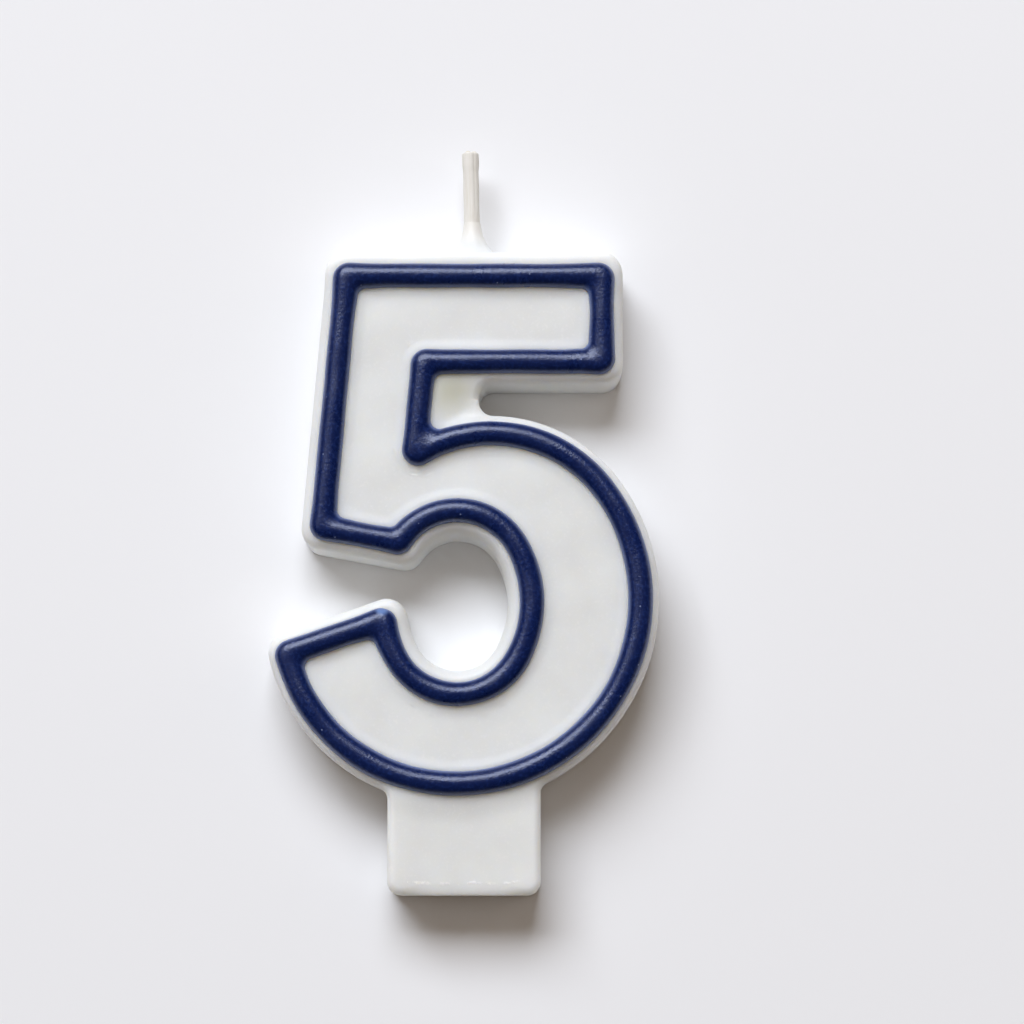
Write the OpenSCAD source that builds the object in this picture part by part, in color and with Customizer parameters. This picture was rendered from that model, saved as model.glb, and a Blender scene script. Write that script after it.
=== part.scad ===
// Number birthday candle, the numeral 5, upright on the end of its foot peg.
// X is to the right seen from the front, the front faces -Y and Z is up.
// Z = 0 is the end of the foot peg.  All lengths are millimetres.
//
// The digit is drawn by the middle line of its raised navy outline.  That line is a closed
// path of straight and round legs.  Every other edge of the candle (the rim of the wax, the
// two sides of the outline and the sunk panel) is the same path moved sideways.

/* [Wax casting] */
// Thickness of the wax casting from its back to the rim beside the outline
body_t = 8.5; // [6:0.1:14]
// Depth of the sunk panel inside the outline
panel_drop = 0.3; // [0.1:0.05:1.5]
// Width of the border between the outline and the sunk panel
panel_margin = 0.6; // [0.1:0.1:1.2]

/* [Top bar and stem] */
// Height of the outline's top line above the bowl's middle
top_rise = 38; // [36:0.1:46]
// Distance between the two lines of the top bar
bar_h = 10.2; // [8:0.1:12]
// Distance of the top bar's right line from the candle's middle
bar_right = 16.05; // [10:0.1:22]
// Distance of the stem's left line from the candle's middle, at the top
stem_left = 13.9; // [12:0.1:18]
// Lean of the stem's left line, in degrees
stem_lean = 5; // [0:0.5:8]
// Distance of the stem's inner line from the candle's middle, under the top bar
stem_inner = 4.8; // [4:0.1:6]
// Lean of the stem's inner line, in degrees
inner_lean = 5.5; // [0:0.5:8]
// Height of the stem's lower left corner above the bowl's middle
stem_foot_rise = 8.3; // [6:0.1:9.5]
// Fall of the stem's underside toward the counter, in degrees
stem_foot_fall = 10.8; // [0:0.5:16]

/* [Bowl] */
// Distance of the bowl's middle to the left of the candle's middle
bowl_left = 0.95; // [0:0.05:2]
// Height of the bowl's middle above the peg's end
bowl_z = 34.2; // [32:0.1:40]
// Radius of the bowl's right side
bowl_r = 21.4; // [20.5:0.1:22.5]
// Radius of the bowl's crown, under the notch
crown_r = 16.4; // [15.6:0.1:18]
// Direction in which the right side passes into the crown, in degrees
crown_from = 35.8; // [30:0.5:45]
// Radius of the bowl's lower left side
heel_r = 19.5; // [18.5:0.1:20.5]
// Direction in which the right side passes into the lower left side, in degrees
heel_from = 251.5; // [240:0.5:265]

/* [Counter] */
// Distance of the counter's middle to the left of the candle's middle
counter_left = 0.85; // [0:0.05:1.5]
// How far the counter's middle lies below the bowl's middle
counter_drop = 0.4; // [-0.8:0.1:1.2]
// Half of the counter's width, between the lines
counter_a = 8.7; // [8:0.1:9.5]
// Half of the counter's height, between the lines
counter_b = 10.7; // [10.4:0.1:11.5]
// Radius of the counter's left and right sides
counter_side_r = 13.5; // [12:0.1:15]
// How far the hook's end lies below the counter's middle, at the side of the counter
hook_tip_drop = 2.2; // [0.8:0.1:4.8]
// Slope of the hook's end, in degrees
hook_slope = 19.1; // [10:0.5:28]

/* [Rim outside the outline] */
// Rim along the straight strokes
rim_bar = 1.08; // [0.6:0.02:2]
// Rim along the top, where the wick comes out
rim_top = 1.38; // [0.6:0.02:2]
// Rim round the bowl
rim_bowl = 0.78; // [0.5:0.02:2]
// Rim inside the counter
rim_counter = 1.38; // [0.6:0.02:2]
// Radius of the rim's corners
rim_corner_r = 2.4; // [1:0.1:3]
// Place of the web's end in the notch, to the right of the candle's middle
web_end = 1.65; // [0:0.05:6]
// Largest radius of the notch's inner end
notch_r = 1.8; // [0.5:0.1:2.5]

/* [Navy outline] */
// Width of the navy outline
bead_w = 2.85; // [2.4:0.05:3.4]
// Height of the navy outline above the rim
bead_h = 1.4; // [1:0.05:2]
// Radius of the middle line's corners
bead_corner_r = 0.4; // [0.1:0.05:1]
// Smallest radius of any corner beside the outline
least_corner_r = 0.5; // [0.2:0.05:1]
// Width of the moulded rib under the coat
rib_w = 1.9; // [1:0.05:2]
// Height of the moulded rib under the coat
rib_h = 0.7; // [0.3:0.05:0.75]
// Gap between the rib and the coat
coat_gap = 0.03; // [0.01:0.01:0.05]

/* [Foot peg] */
// Width of the foot peg
peg_w = 17.7; // [10:0.1:22]
// Radius of the peg's lower corners
peg_corner_r = 1.6; // [0.8:0.1:3]
// Radius in the corners between the peg and the bowl
peg_fillet_r = 1.5; // [0.8:0.1:3]

/* [Wick] */
// Place of the wick, to the right of the candle's middle
wick_right = 0.9; // [-4:0.1:4]
// Outer diameter of the waxed wick
wick_d = 2; // [1.9:0.05:3]
// Length of the wick above the casting
wick_out = 13; // [8:0.5:20]
// Length of the wick inside the top bar
wick_in = 12.5; // [6:0.5:13]
// Lean of the wick to the left, in degrees
wick_lean = 1.5; // [0:0.5:5]
// Diameter of one cotton ply
ply_d = 0.72; // [0.4:0.02:0.74]
// Length of wick in which a ply goes round once
ply_lay = 7; // [4:0.5:12]
// How far the cut plies stand out of their wax
ply_proud = 0.2; // [0:0.05:0.5]
// Gap between the plies, the wax sleeve and the casting
wick_gap = 0.03; // [0.01:0.01:0.05]
// Width of the wax cone's foot round the wick
cone_w = 6.8; // [4:0.1:7]
// Height of the wax cone round the wick
cone_h = 4.3; // [2:0.1:6]
// Wall of the wax cone at its upper edge
cone_lip = 0.2; // [0.1:0.05:0.5]

/* [Hidden] */

LINE = 0;
ARC = 1;
LEFT = 1;
RIGHT = -1;
// Overlap that makes a union or a cut run cleanly through a face
lap = 0.3;
corner_steps = 5;
bead_steps = 8;
cone_steps = 10;
ply_count = 3;
ply_step = 36;

front_y = -body_t / 2;
half_bead = bead_w / 2;
top_z = bowl_z + top_rise;
stem_foot_z = bowl_z + stem_foot_rise;
body_top = top_z + half_bead + rim_top;
under_z = top_z - bar_h;

bowl = [-bowl_left, bowl_z];
crown = bowl + (bowl_r - crown_r) * unit(crown_from);
heel = bowl + (bowl_r - heel_r) * unit(heel_from);

counter = [-counter_left, bowl_z - counter_drop];
// Radius of the counter's round top and bottom, at which the four arcs of the oval touch
counter_end_r = (2 * counter_side_r * counter_a - pow(counter_a, 2) - pow(counter_b, 2))
    / (2 * (counter_side_r - counter_b));
counter_rise = counter_b - counter_end_r;
counter_reach = counter_side_r - counter_a;

// Named corners of the middle line.  Where a corner lies on an arc, the point is near it.
stem_foot = [-stem_left - (top_z - stem_foot_z) * tan(stem_lean), stem_foot_z];
hook_tip = [counter[0] - counter_a, counter[1] - hook_tip_drop];
hook_heel = heel + heel_r * unit(194);
inner_top = [-stem_inner, under_z];
armpit = crown + crown_r * unit(123);
stem_hook = counter + [0, counter_rise] + counter_end_r * unit(148);
peg_left = [-peg_w / 2, bowl_z - bowl_r + half_bead];
peg_right = [peg_w / 2, bowl_z - bowl_r + half_bead];
web_low = [web_end, crown[1] + crown_r];

// Height of the notch at the web's end, which limits the radius there
notch_floor_r = crown_r + half_bead + rim_bowl;
notch_h = under_z - half_bead - rim_bar
    - (crown[1] + sqrt(pow(notch_floor_r, 2) - pow(web_end - crown[0], 2)));
web_r = min(notch_r, 0.45 * notch_h);

wick_r = wick_d / 2;
ply_ring_r = (ply_d / 2 + wick_gap / 2) / sin(180 / ply_count);
core_r = ply_ring_r + ply_d / 2;

// ---- Legs of a path ----------------------------------------------------------------------
// A path runs round the wax with the wax on its left.  A leg is
// [kind, point or centre, heading or radius, turn, steps, end corner, radius of that corner].
// An end corner of radius 0 is a smooth passage from one arc to the next.

function unit(angle) = [cos(angle), sin(angle)];
function wrap(angle) = angle - 360 * floor(angle / 360);
function angle_of(v) = atan2(v[1], v[0]);
function line_leg(point, heading, corner, r) = [LINE, point, heading, 0, 1, corner, r];
function arc_leg(centre, radius, turn, steps, corner, r) = [ARC, centre, radius, turn, steps, corner, r];

// A leg moved by d to its right, which is outward
function moved(leg, d) = leg[0] == LINE
    ? [LINE, leg[1] + d * unit(leg[2] - 90), leg[2], 0, leg[4], leg[5], leg[6]]
    : [ARC, leg[1], leg[2] + leg[3] * d, leg[3], leg[4], leg[5], leg[6]];

// Heading of a leg at point v
function heading(leg, v) = leg[0] == LINE ? leg[2] : angle_of(v - leg[1]) + 90 * leg[3];

function cross_lines(a, b) =
    let (u = unit(a[2]), w = unit(b[2]), gap = b[1] - a[1], det = cross(u, w))
    a[1] + cross(gap, w) / det * u;

// Of the two points where a line meets an arc, the one nearer to the named corner
function cross_arc(straight, round_leg, near) =
    let (
        u = unit(straight[2]),
        rel = round_leg[1] - straight[1],
        foot = straight[1] + (rel * u) * u,
        reach = sqrt(pow(round_leg[2], 2) - pow(norm(round_leg[1] - foot), 2)),
        p = foot + reach * u,
        q = foot - reach * u
    )
    norm(p - near) < norm(q - near) ? p : q;

// Two arcs touch on the line through their centres, beyond the smaller one's centre
function touch_arcs(a, b) =
    let (small = a[2] < b[2] ? a : b, large = a[2] < b[2] ? b : a, v = small[1] - large[1])
    small[1] + small[2] * v / norm(v);

function meet(a, b) =
    a[0] == LINE && b[0] == LINE ? cross_lines(a, b)
    : a[0] == LINE ? cross_arc(a, b, a[5])
    : b[0] == LINE ? cross_arc(b, a, a[5])
    : touch_arcs(a, b);

// Change of heading at corner v, between -180 and 180 degrees
function bend(a, b, v) = wrap(heading(b, v) - heading(a, v) + 180) - 180;

// Length that the rounding takes off both legs of a corner, on a path moved by d
function bite(a, b, v, d) =
    let (turn = bend(a, b, v), r = max(least_corner_r, a[6] + sign(turn) * d))
    a[6] == 0 ? 0 : r * tan(abs(turn) / 2);

// Points of one leg between its corners, less the bites at both ends
function leg_points(leg, from, to, cut_from, cut_to) = leg[0] == LINE
    ? [from + cut_from * unit(leg[2]), to - cut_to * unit(leg[2])]
    : let (
        turn = leg[3],
        r = leg[2],
        start = angle_of(from - leg[1]) + turn * cut_from / r * 180 / PI,
        end = angle_of(to - leg[1]) - turn * cut_to / r * 180 / PI,
        sweep = turn * wrap(turn * (end - start)),
        last = cut_to == 0 ? leg[4] - 1 : leg[4]
    )
    [for (i = [0:last]) leg[1] + r * unit(start + sweep * i / leg[4])];

// Points inside a round corner from a over v to b: the conic that is a circle's arc there
function corner_points(a, v, b, turn) =
    let (w = cos(turn / 2))
    [for (i = [1:corner_steps - 1])
        let (t = i / corner_steps, s = 1 - t)
        (s * s * a + 2 * s * t * w * v + t * t * b) / (s * s + 2 * s * t * w + t * t)];

// Points of a closed path whose legs are all moved outward by d
function path_points(legs, d = 0) =
    let (
        n = len(legs),
        m = [for (leg = legs) moved(leg, d)],
        v = [for (i = [0:n - 1]) meet(m[i], m[(i + 1) % n])],
        cut = [for (i = [0:n - 1]) bite(m[i], m[(i + 1) % n], v[i], d)],
        runs = [for (i = [0:n - 1])
            let (before = (i + n - 1) % n)
            leg_points(m[i], v[before], v[i], cut[before], cut[i])]
    )
    [for (i = [0:n - 1])
        let (after = (i + 1) % n, run = runs[i], turn = bend(m[i], m[after], v[i]))
        each m[i][6] == 0
            ? run
            : concat(run, corner_points(run[len(run) - 1], v[i], runs[after][0], turn))];

// ---- The two paths of the candle -----------------------------------------------------------

// Legs of the counter, from the stem's underside round to the hook's end
function counter_legs(d, r_in, r_out) = [
    moved(arc_leg(counter + [0, counter_rise], counter_end_r, RIGHT, 10, counter, 0), d),
    moved(arc_leg(counter - [counter_reach, 0], counter_side_r, RIGHT, 10, counter, 0), d),
    moved(arc_leg(counter - [0, counter_rise], counter_end_r, RIGHT, 14, counter, 0), d),
    moved(arc_leg(counter + [counter_reach, 0], counter_side_r, RIGHT, 5, hook_tip, r_out), d)
];

// Middle line of the navy outline, anticlockwise from the top left corner
function outline_legs(r) = concat(
    [
        line_leg([-stem_left, top_z], 270 - stem_lean, stem_foot, r),
        line_leg(stem_foot, -stem_foot_fall, stem_hook, r)
    ],
    counter_legs(0, r, r),
    [
        line_leg(hook_tip, 180 + hook_slope, hook_heel, r),
        arc_leg(heel, heel_r, LEFT, 14, heel, 0),
        arc_leg(bowl, bowl_r, LEFT, 24, bowl, 0),
        arc_leg(crown, crown_r, LEFT, 12, armpit, r),
        line_leg(inner_top, 90 - inner_lean, inner_top, r),
        line_leg(inner_top, 0, [bar_right, under_z], r),
        line_leg([bar_right, under_z], 90, [bar_right, top_z], r),
        line_leg([bar_right, top_z], 180, [-stem_left, top_z], r)
    ]
);

// Edge of the wax casting: the same strokes moved out by the rims, with the peg and the web
function casting_legs(r) =
    let (bar = half_bead + rim_bar, bowl_rim = half_bead + rim_bowl)
    concat(
        [
            moved(line_leg([-stem_left, top_z], 270 - stem_lean, stem_foot, r), bar),
            moved(line_leg(stem_foot, -stem_foot_fall, stem_hook, r), bar)
        ],
        counter_legs(half_bead + rim_counter, r, r),
        [
            moved(line_leg(hook_tip, 180 + hook_slope, hook_heel, r), bar),
            moved(arc_leg(heel, heel_r, LEFT, 12, peg_left, peg_fillet_r), bowl_rim),
            line_leg(peg_left, 270, [-peg_w / 2, 0], peg_corner_r),
            line_leg([0, 0], 0, [peg_w / 2, 0], peg_corner_r),
            line_leg(peg_right, 90, peg_right, peg_fillet_r),
            moved(arc_leg(bowl, bowl_r, LEFT, 20, bowl, 0), bowl_rim),
            moved(arc_leg(crown, crown_r, LEFT, 12, web_low, web_r), bowl_rim),
            line_leg(web_low, 90, web_low, web_r),
            moved(line_leg(inner_top, 0, [bar_right, under_z], r), bar),
            moved(line_leg([bar_right, under_z], 90, [bar_right, top_z], r), bar),
            moved(line_leg([bar_right, top_z], 180, [-stem_left, top_z], r), half_bead + rim_top)
        ]
    );

// Outline of the wax casting
function casting_points() = path_points(casting_legs(rim_corner_r));

// Navy outline's middle line moved outward by d, flat and as a ring at depth y
function outline_points(d) = path_points(outline_legs(bead_corner_r), d);
function outline_ring(d, y) = [for (p = outline_points(d)) [p[0], y, p[1]]];

// ---- Solids --------------------------------------------------------------------------------

// Stands a flat shape upright as a plate that reaches from depth y forward by t
module plate(y, t) {
    translate([0, y, 0])
        rotate([90, 0, 0])
            linear_extrude(t)
                children();
}

// Ring-shaped solid whose section is drawn by rings of equally many points
module ring_skin(rings) {
    n = len(rings[0]);
    count = len(rings);
    polyhedron(
        points = [for (ring = rings) each ring],
        faces = [for (k = [0:count - 1], i = [0:n - 1])
            let (a = k * n, b = (k + 1) % count * n, j = (i + 1) % n)
            each [[a + i, a + j, b + j], [a + i, b + j, b + i]]]
    );
}

// Digit, peg and web as one plate, with the rib that carries the navy coat
module casting_plate() {
    plate(body_t / 2, body_t)
        polygon(casting_points());
    plate(front_y + lap, rib_h + lap)
        difference() {
            polygon(outline_points(rib_w / 2));
            polygon(outline_points(-rib_w / 2));
        }
}

// Room over the sunk panel
module panel_room() {
    plate(front_y + panel_drop, panel_drop + lap)
        polygon(outline_points(-half_bead - panel_margin));
}

// Places its children on the wick's axis, with Z = 0 where the wick leaves the casting
module on_wick() {
    translate([wick_right, 0, body_top])
        rotate([0, -wick_lean, 0])
            children();
}

// Cone of wax drawn up round the wick, hollow-sided like a meniscus.  It leans with the wick,
// so its foot is sunk far enough to start inside the bar all the way round.
module wax_cone() {
    foot_r = cone_w / 2;
    lip_r = wick_r + wick_gap + cone_lip;
    sunk = foot_r * sin(wick_lean) + 0.02;
    side = [for (i = [0:cone_steps])
        let (t = i / cone_steps)
        [lip_r + (foot_r - lip_r) * pow(1 - t, 3), (cone_h + sunk) * t - sunk]];
    rotate_extrude($fn = 64)
        polygon(concat([[0, cone_h], [0, -lap], [foot_r, -lap]], side));
}

module numeral_body() {
    color("ivory")
        difference() {
            union() {
                casting_plate();
                on_wick() wax_cone();
            }
            panel_room();
            on_wick()
                translate([0, 0, -wick_in - wick_gap])
                    cylinder(h = wick_in + cone_h + 2 * lap, r = wick_r + wick_gap, $fn = 48);
        }
}

// Half-round coat with a channel for the rib
module outline_coat() {
    channel = rib_w / 2 + coat_gap;
    dome = [for (i = [0:bead_steps])
        let (angle = 180 - 180 * i / bead_steps)
        outline_ring(half_bead * cos(angle), front_y - bead_h * sin(angle))];
    inside = [
        outline_ring(channel, front_y),
        outline_ring(channel, front_y - rib_h - coat_gap),
        outline_ring(-channel, front_y - rib_h - coat_gap),
        outline_ring(-channel, front_y)
    ];
    color("midnightblue")
        ring_skin(concat(dome, inside));
}

// One cotton ply, laid round the wick's axis
module wick_ply(index) {
    long = wick_in + wick_out;
    turned = 360 * long / ply_lay;
    color("linen")
        on_wick()
            translate([0, 0, -wick_in])
                rotate([0, 0, 360 * index / ply_count])
                    linear_extrude(long, twist = -turned, slices = ceil(turned / ply_step))
                        translate([ply_ring_r, 0])
                            circle(d = ply_d, $fn = 12);
}

module wick_wax_sleeve() {
    color("floralwhite")
        on_wick()
            translate([0, 0, -wick_in])
                difference() {
                    cylinder(h = wick_in + wick_out - ply_proud, r = wick_r, $fn = 48);
                    translate([0, 0, -lap])
                        cylinder(h = wick_in + wick_out + 2 * lap, r = core_r + wick_gap, $fn = 48);
                }
}

numeral_body();
outline_coat();
wick_ply(0);  // wick_ply_1
wick_ply(1);  // wick_ply_2
wick_ply(2);  // wick_ply_3
wick_wax_sleeve();
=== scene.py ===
"""Looks of a number birthday candle, the numeral 5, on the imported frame.

X is to the right seen from the front, the front faces -Y, Z is up and Z = 0 is the end of the
foot peg.  Sizes held by the classes are millimetres; meshes are written in metres.  Outlines
lie in the XZ plane and run anticlockwise seen from the front, with the wax on their left.
"""
import logging
import math
from dataclasses import dataclass, field, replace
from enum import Enum
from typing import Any, Iterable, Mapping, Sequence

import bpy
import numpy as np
from mathutils import Euler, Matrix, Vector
from mathutils.geometry import delaunay_2d_cdt


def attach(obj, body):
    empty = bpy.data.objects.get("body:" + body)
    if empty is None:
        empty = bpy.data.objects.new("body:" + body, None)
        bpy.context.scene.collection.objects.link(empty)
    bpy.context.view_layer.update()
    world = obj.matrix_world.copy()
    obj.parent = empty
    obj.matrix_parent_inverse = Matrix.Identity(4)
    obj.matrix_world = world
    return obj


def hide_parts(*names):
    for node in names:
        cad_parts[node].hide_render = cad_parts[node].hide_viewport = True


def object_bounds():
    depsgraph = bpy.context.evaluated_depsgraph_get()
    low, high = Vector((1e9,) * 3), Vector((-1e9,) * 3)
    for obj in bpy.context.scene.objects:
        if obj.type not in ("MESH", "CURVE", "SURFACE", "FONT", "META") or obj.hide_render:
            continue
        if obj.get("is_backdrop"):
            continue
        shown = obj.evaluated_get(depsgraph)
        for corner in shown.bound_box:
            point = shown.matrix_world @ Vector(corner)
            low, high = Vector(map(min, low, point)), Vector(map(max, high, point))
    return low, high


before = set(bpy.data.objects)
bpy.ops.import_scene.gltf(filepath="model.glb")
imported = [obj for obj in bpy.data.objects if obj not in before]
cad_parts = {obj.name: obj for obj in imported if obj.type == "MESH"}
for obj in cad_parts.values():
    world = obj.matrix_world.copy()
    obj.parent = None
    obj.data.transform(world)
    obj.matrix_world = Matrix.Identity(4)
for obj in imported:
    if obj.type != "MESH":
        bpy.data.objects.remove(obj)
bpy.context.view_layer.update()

MM = 0.001
BATCH = 500  # Points that are compared with all others at once.
SAME = 1e-7  # Plane points no farther apart than this count as one, in millimetres.
log = logging.getLogger("numeral_candle")


# ---- Shader trees --------------------------------------------------------------------------


def linear(colour: str) -> tuple[float, float, float, float]:
    """Turns an sRGB hex colour into linear light.

    Args:
        colour: Six hex digits after a hash sign.

    Returns:
        Linear red, green and blue, and 1 for alpha.
    """
    srgb = np.array([int(colour[i:i + 2], 16) for i in (1, 3, 5)]) / 255
    light = np.where(srgb <= 0.04045, srgb / 12.92, ((srgb + 0.055) / 1.055) ** 2.4)
    return (*(float(c) for c in light), 1.0)


def add(
    tree: bpy.types.NodeTree,
    kind: str,
    inputs: Mapping[str | int, Any] | None = None,
    **settings: Any,
) -> bpy.types.Node:
    """Adds one node with its settings, socket values and incoming links.

    Args:
        tree: Node tree that gets the node.
        kind: Blender's name of the node type.
        inputs: Value or output socket for each named or numbered input.
        **settings: Attributes of the node itself.

    Returns:
        The new node.
    """
    node = tree.nodes.new(kind)
    for name, value in settings.items():
        setattr(node, name, value)
    for key, value in (inputs or {}).items():
        if isinstance(value, bpy.types.NodeSocket):
            tree.links.new(value, node.inputs[key])
        else:
            node.inputs[key].default_value = value
    return node


def new_material(name: str) -> tuple[bpy.types.Material, bpy.types.NodeTree]:
    """Makes an empty node material.

    Args:
        name: What the finish is.

    Returns:
        The material and its empty node tree.
    """
    material = bpy.data.materials.new(name)
    material.use_nodes = True
    material.node_tree.nodes.clear()
    return material, material.node_tree


@dataclass(frozen=True)
class CastParaffin:
    """White-pigmented paraffin wax, poured and released from a smooth mould.

    The eye gets a soft satin white that glows a little at thin edges, with faint clouds where
    the wax set at different speeds, a fine bloom of wax crystals, painted shade, darker and
    warmer, in the pocket between the strokes, a crease over the foot with a low bump and a
    painted highlight along it, a warmer skin where the wax climbs the wick, and a face that
    is never quite level.  A field that ends in span holds the noise value at which an effect
    sets in and the one at which it is full.
    """

    name: str = "cast_white_paraffin_satin"
    body_hex: str = "#EBEDEB"
    ior: float = 1.44
    roughness: float = 0.42
    roughness_swing: float = 0.05
    roughness_span: tuple[float, float] = (0.3, 0.7)
    glow: float = 0.95
    glow_mm: float = 2.8
    glow_by_colour: tuple[float, float, float] = (1.0, 0.92, 0.78)
    thin_z: tuple[float, float] = (75.6, 77.2)
    cloud_hex: str = "#E4E5E3"
    cloud_mm: float = 9.0
    cloud_span: tuple[float, float] = (0.35, 0.68)
    bloom_hex: str = "#F5F5F3"
    bloom_mm: float = 0.35
    bloom_share: float = 0.35
    bloom_span: tuple[float, float] = (0.55, 0.8)
    # Painted shade in the web's pocket between the strokes.
    painted_pocket_shade_hex: str = "#D6D6C6"
    painted_shade_at: tuple[float, float, float] = (-2.0, -3.6, 59.0)
    painted_shade_mm: float = 5.0
    skin_hex: str = "#E6E3DC"
    skin_z: tuple[float, float] = (75.4, 79.6)
    skin_mm: float = 1.6
    skin_rise_mm: float = 0.008
    grain_mm: float = 0.3
    grain_rise_mm: float = 0.0015
    # Painted highlight along the crease over the foot.
    crease_highlight_hex: str = "#FCFCFA"
    crease_at: tuple[float, float] = (-0.4, 0.9)
    crease_half: float = 6.9
    crease_end: float = 0.85
    crease_lift: float = 0.25
    crease_mm: float = 0.2
    crease_core: float = 0.3
    crease_rise_mm: float = 0.035
    sway_mm: float = 1.6
    sway_drop: float = 0.9
    grit_mm: float = 0.7
    grit_span: tuple[float, float] = (0.46, 0.62)
    face_y: tuple[float, float] = (-3.2, -3.4)

    def _crease(self, tree: bpy.types.NodeTree,
                place: bpy.types.NodeSocket) -> bpy.types.NodeSocket:
        """Marks the crease over the foot's slanting edge, with a low bump and a painted
        highlight.

        It is a line on the front, lowest in its middle and lifted toward both ends by the
        square of the distance.  Noise sways it up and down, and a finer grit breaks it.

        Args:
            tree: Tree that takes the nodes.
            place: Object coordinates.

        Returns:
            Socket that is 1 on the crease and 0 away from it.
        """
        at = add(tree, "ShaderNodeSeparateXYZ", {"Vector": place})
        along = add(tree, "ShaderNodeMapRange", {
            "Value": at.outputs["X"], "From Min": self.crease_at[0] * MM,
            "From Max": (self.crease_at[0] + self.crease_half) * MM}, clamp=False)
        square = add(tree, "ShaderNodeMath", {0: along.outputs[0], 1: along.outputs[0]},
                     operation="MULTIPLY")
        line = add(tree, "ShaderNodeMath", {
            0: square.outputs[0], 1: self.crease_lift * MM, 2: self.crease_at[1] * MM},
            operation="MULTIPLY_ADD")
        sway = add(tree, "ShaderNodeTexNoise", {
            "Vector": place, "Scale": 1 / (self.sway_mm * MM)})
        shifted = add(tree, "ShaderNodeMath", {
            0: sway.outputs["Fac"], 1: -self.sway_drop * MM, 2: at.outputs["Z"]},
            operation="MULTIPLY_ADD")
        off = add(tree, "ShaderNodeMath", {0: shifted.outputs[0], 1: line.outputs[0]},
                  operation="SUBTRACT")
        away = add(tree, "ShaderNodeMath", {0: off.outputs[0]}, operation="ABSOLUTE")
        grit = add(tree, "ShaderNodeTexNoise", {
            "Vector": place, "Scale": 1 / (self.grit_mm * MM), "Detail": 3.0, "Roughness": 0.7})
        mark: bpy.types.NodeSocket | float = 1.0
        for value, none, full in (
                (away.outputs[0], self.crease_mm * MM, self.crease_core * self.crease_mm * MM),
                (square.outputs[0], 1.0, self.crease_end),
                (grit.outputs["Fac"], *self.grit_span),
                (at.outputs["Y"], self.face_y[0] * MM, self.face_y[1] * MM)):
            part = add(tree, "ShaderNodeMapRange", {
                "Value": value, "From Min": none, "From Max": full})
            mark = add(tree, "ShaderNodeMath", {0: mark, 1: part.outputs[0]},
                       operation="MULTIPLY").outputs[0]
        return mark

    def material(self) -> bpy.types.Material:
        """Builds the shader: shades laid over the clouds one by one, and levels of relief.

        Returns:
            The finished material.
        """
        material, tree = new_material(self.name)
        place = add(tree, "ShaderNodeTexCoord").outputs["Object"]
        height = add(tree, "ShaderNodeSeparateXYZ", {"Vector": place}).outputs["Z"]
        clouds = add(tree, "ShaderNodeTexNoise", {
            "Vector": place, "Scale": 1 / (self.cloud_mm * MM), "Detail": 3.0,
            "Roughness": 0.55})
        body = add(tree, "ShaderNodeValToRGB", {"Fac": clouds.outputs["Fac"]})
        for stop, position, shade in zip(body.color_ramp.elements, self.cloud_span,
                                         (self.cloud_hex, self.body_hex)):
            stop.position, stop.color = position, linear(shade)
        crystals = add(tree, "ShaderNodeTexNoise", {
            "Vector": place, "Scale": 1 / (self.bloom_mm * MM), "Detail": 2.0})
        bloom = add(tree, "ShaderNodeMapRange", {
            "Value": crystals.outputs["Fac"], "From Min": self.bloom_span[0],
            "From Max": self.bloom_span[1], "To Max": self.bloom_share})
        # Painted shade: the colour turns darker and warmer within a few millimetres of a point
        # in the web between the strokes, where shade falls.
        away = add(tree, "ShaderNodeVectorMath", {
            0: place, 1: tuple(c * MM for c in self.painted_shade_at)}, operation="DISTANCE")
        pocket = add(tree, "ShaderNodeMapRange", {
            "Value": away.outputs["Value"], "From Min": self.painted_shade_mm * MM, "From Max": 0.0},
            interpolation_type="SMOOTHSTEP")
        crease = self._crease(tree, place)
        drawn = add(tree, "ShaderNodeMapRange", {
            "Value": height, "From Min": self.skin_z[0] * MM, "From Max": self.skin_z[1] * MM},
            interpolation_type="SMOOTHSTEP")
        colour = body.outputs["Color"]
        # The pocket's share paints shade and the crease's share paints a highlight; the bloom
        # and the skin are the wax's own colour.
        for share, shade in (
                (bloom.outputs["Result"], self.bloom_hex),
                (pocket.outputs["Result"], self.painted_pocket_shade_hex), (crease, self.crease_highlight_hex),
                (drawn.outputs["Result"], self.skin_hex)):
            colour = add(tree, "ShaderNodeMix", {
                "Factor": share, 6: colour, 7: linear(shade)}, data_type="RGBA").outputs[2]
        sheen = add(tree, "ShaderNodeMapRange", {
            "Value": clouds.outputs["Fac"], "From Min": self.roughness_span[0],
            "From Max": self.roughness_span[1],
            "To Min": self.roughness + self.roughness_swing,
            "To Max": self.roughness - self.roughness_swing})
        relief: dict[str, bpy.types.NodeSocket] = {}
        for size, rise in ((self.skin_mm, self.skin_rise_mm),
                           (self.grain_mm, self.grain_rise_mm)):
            waves = add(tree, "ShaderNodeTexNoise", {
                "Vector": place, "Scale": 1 / (size * MM), "Detail": 2.0})
            bump = add(tree, "ShaderNodeBump", {
                "Height": waves.outputs["Fac"], "Distance": rise * MM, **relief})
            relief = {"Normal": bump.outputs["Normal"]}
        bump = add(tree, "ShaderNodeBump", {
            "Height": crease, "Distance": self.crease_rise_mm * MM, **relief})
        # Light scatters less in the thin skin round the wick than in the thick casting.
        glow = add(tree, "ShaderNodeMapRange", {
            "Value": height, "From Min": self.thin_z[0] * MM, "From Max": self.thin_z[1] * MM,
            "To Min": self.glow, "To Max": 0.0})
        wax = add(tree, "ShaderNodeBsdfPrincipled", {
            "Base Color": colour, "Roughness": sheen.outputs["Result"], "IOR": self.ior,
            "Subsurface Weight": glow.outputs["Result"],
            "Subsurface Radius": self.glow_by_colour, "Subsurface Scale": self.glow_mm * MM,
            "Normal": bump.outputs["Normal"]})
        add(tree, "ShaderNodeOutputMaterial", {"Surface": wax.outputs["BSDF"]})
        return material


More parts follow.
